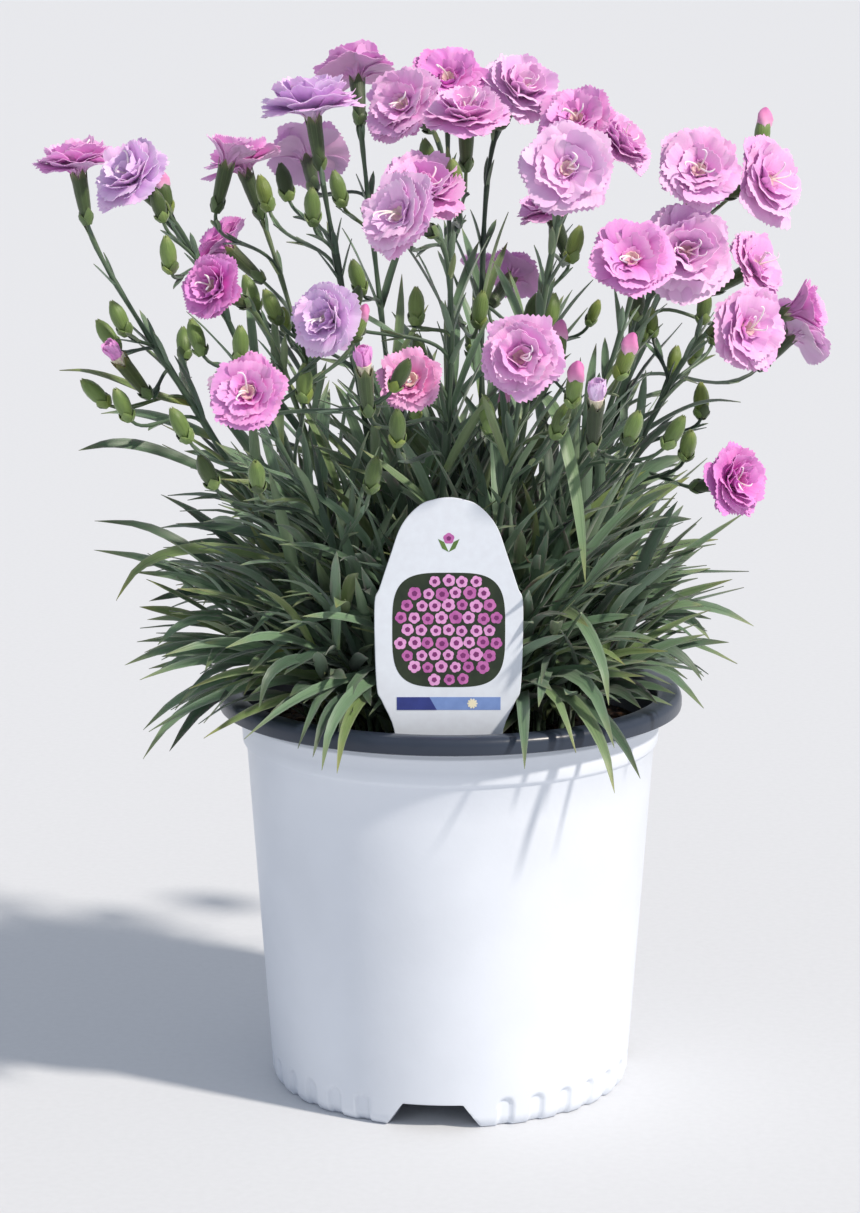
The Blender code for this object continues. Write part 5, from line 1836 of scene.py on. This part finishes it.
@dataclass
class DianthusPlant:
    """The whole plant: its layout, its green sprays and its flowers."""

    plan: GrowthPlan = field(default_factory=GrowthPlan)
    leaf: Finish = LeafFinish("dianthus_leaf_waxy")
    stem: Finish = LeafFinish("dianthus_stem_waxy", base="6c7f5c", blade="566c56", tip="66795c", roughness=0.42)
    calyx: Finish = LeafFinish(
        "dianthus_calyx_grown", base="506639", blade="435631", tip="7f8254", under="5f7648", dull="8a9484",
        roughness=0.38
    )
    bud: Finish = LeafFinish(
        "dianthus_bud_grown", base="71883f", blade="738c4a", tip="98a561", under="7d9656", dull="6c7868", roughness=0.38
    )
    bud_tip: Finish = PetalFinish("bud_petal_tip", throat="ecd6dc", heart="ebb4d2", body="e492c2", edge="cc6aac")
    style: Finish = PetalFinish("flower_style", heart="f7f0e0", body="faf0f2", edge="fdf5f8", back="f4ecde")
    late_shares: tuple[float, float, float] = (0.4, 0.9, 0.05)  # from, to and between the tried shares of a stem
    late_rise: float = 18.0         # how far a late bud is above its stalk's foot, at least
    late_aside: float = 0.6         # how much a way aside counts more than the way up

    def late_bud_spots(self) -> dict[int, list[tuple[Vector, float]]]:
        """For each late bud the spray whose stem passes nearest below it, and where its stalk leaves that stem."""
        found: dict[int, list[tuple[Vector, float]]] = {}
        for spot in LATE_BUDS:
            heart = place(*spot)
            best = None
            for index, stem in enumerate(self.plan.stems):
                for share in np.arange(*self.late_shares):
                    away = heart - self.plan.at(stem, share)
                    if away.z < self.late_rise * MM:
                        continue
                    cost = away.length + self.late_aside * math.hypot(away.x, away.y)
                    if best is None or cost < best[0]:
                        best = (cost, index, share)
            if best:
                found.setdefault(best[1], []).append((heart, float(best[2])))
        return found

    def build(self, frame_nodes: dict[str, bpy.types.Object]) -> None:
        """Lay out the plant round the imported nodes, make it and put it in the scene."""
        self.plan.lay_out(frame_nodes)
        greens = [finish.made() for finish in (self.leaf, self.stem, self.calyx, self.bud, self.bud_tip)]
        finds = self.late_bud_spots()
        for index in range(len(SPRAYS)):
            GreenSpray(self.plan, index).build(finds.get(index, []), greens)
        tints = {tint: tint.value.made() for tint in Tint}
        style, number = self.style.made(), 0
        for stem in self.plan.stems:
            for head, mouth, axis in stem.flowers:
                number += 1
                Bloom(number, head, mouth, axis, self.plan.rooms[number]).build(tints[head.tint], style)


# ---- studio


@dataclass
class Studio:
    """A plain pale floor, an open sky, a sun on the right, and the camera."""

    camera_spot: tuple[float, float, float] = (-0.0073, -1.154, 0.395)
    camera_pitch: float = 79.07
    lens: float = 98.1
    sensor: float = 36.0
    floor_size: float = 120.0
    sun_turn: float = -33.0
    sun_tilt: float = 46.0
    sun_blur: float = 4.0
    sun_strength: float = 3.55
    sun_colour: str = "fff5e8"
    sky_strength: float = 0.6
    sky_colour: str = "e9f0fc"
    paint: Finish = InkFinish("floor_paint", roughness=0.8, low="d1d4d9", high="d4d7dc")

    def camera(self) -> None:
        """The camera at the photograph's viewing angle. The picture's long side is its height."""
        lens = bpy.data.cameras.new("camera")
        lens.lens, lens.sensor_width, lens.sensor_fit = self.lens, self.sensor, "AUTO"
        lens.clip_start, lens.clip_end = 0.01, 200.0
        camera = placed("camera", lens)
        camera.location = self.camera_spot
        camera.rotation_euler = (math.radians(self.camera_pitch), 0.0, 0.0)
        bpy.context.scene.camera = camera

    def sun(self) -> None:
        """The sun: high on the right and a little in front, its shadows 4 degrees soft, as in the photograph."""
        light = bpy.data.lights.new("sun", "SUN")
        light.energy, light.angle = self.sun_strength, math.radians(self.sun_blur)
        light.color = linear(self.sun_colour)[:3]
        sun = placed("sun", light)
        sun.rotation_mode = "QUATERNION"
        sun.rotation_quaternion = heading(self.sun_turn, self.sun_tilt).to_track_quat("Z", "Y")

    def floor(self) -> None:
        """The floor that the pot stands on, which isn't part of the object."""
        reach = self.floor_size / 2
        mesh = bpy.data.meshes.new("floor")
        corners = [(-reach, -reach, 0), (reach, -reach, 0), (reach, reach, 0), (-reach, reach, 0)]
        mesh.from_pydata(corners, [], [(0, 1, 2, 3)])
        mesh.materials.append(self.paint.made())
        floor = placed("floor", mesh)

    def world(self) -> None:
        """Even light from all round, and colours shown as they are."""
        world = bpy.data.worlds.new("studio")
        world.use_nodes = True
        back = world.node_tree.nodes["Background"]
        back.inputs["Color"].default_value = linear(self.sky_colour)
        back.inputs["Strength"].default_value = self.sky_strength
        bpy.context.scene.world = world
        bpy.context.scene.view_settings.view_transform = "Standard"

    def build(self) -> None:
        """Set up the camera, the floor and the light."""
        self.camera()
        self.floor()
        self.world()
        self.sun()


def main() -> None:
    """Load the frame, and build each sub-assembly in turn."""
    logging.basicConfig(level=logging.INFO, format="%(name)s: %(message)s")
    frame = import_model()
    Studio().build()
    NurseryPot().build()
    PottingSoil().build()
    PlantLabel().build()
    DianthusPlant().build(frame["nodes"])


if __name__ == "__main__":
    main()
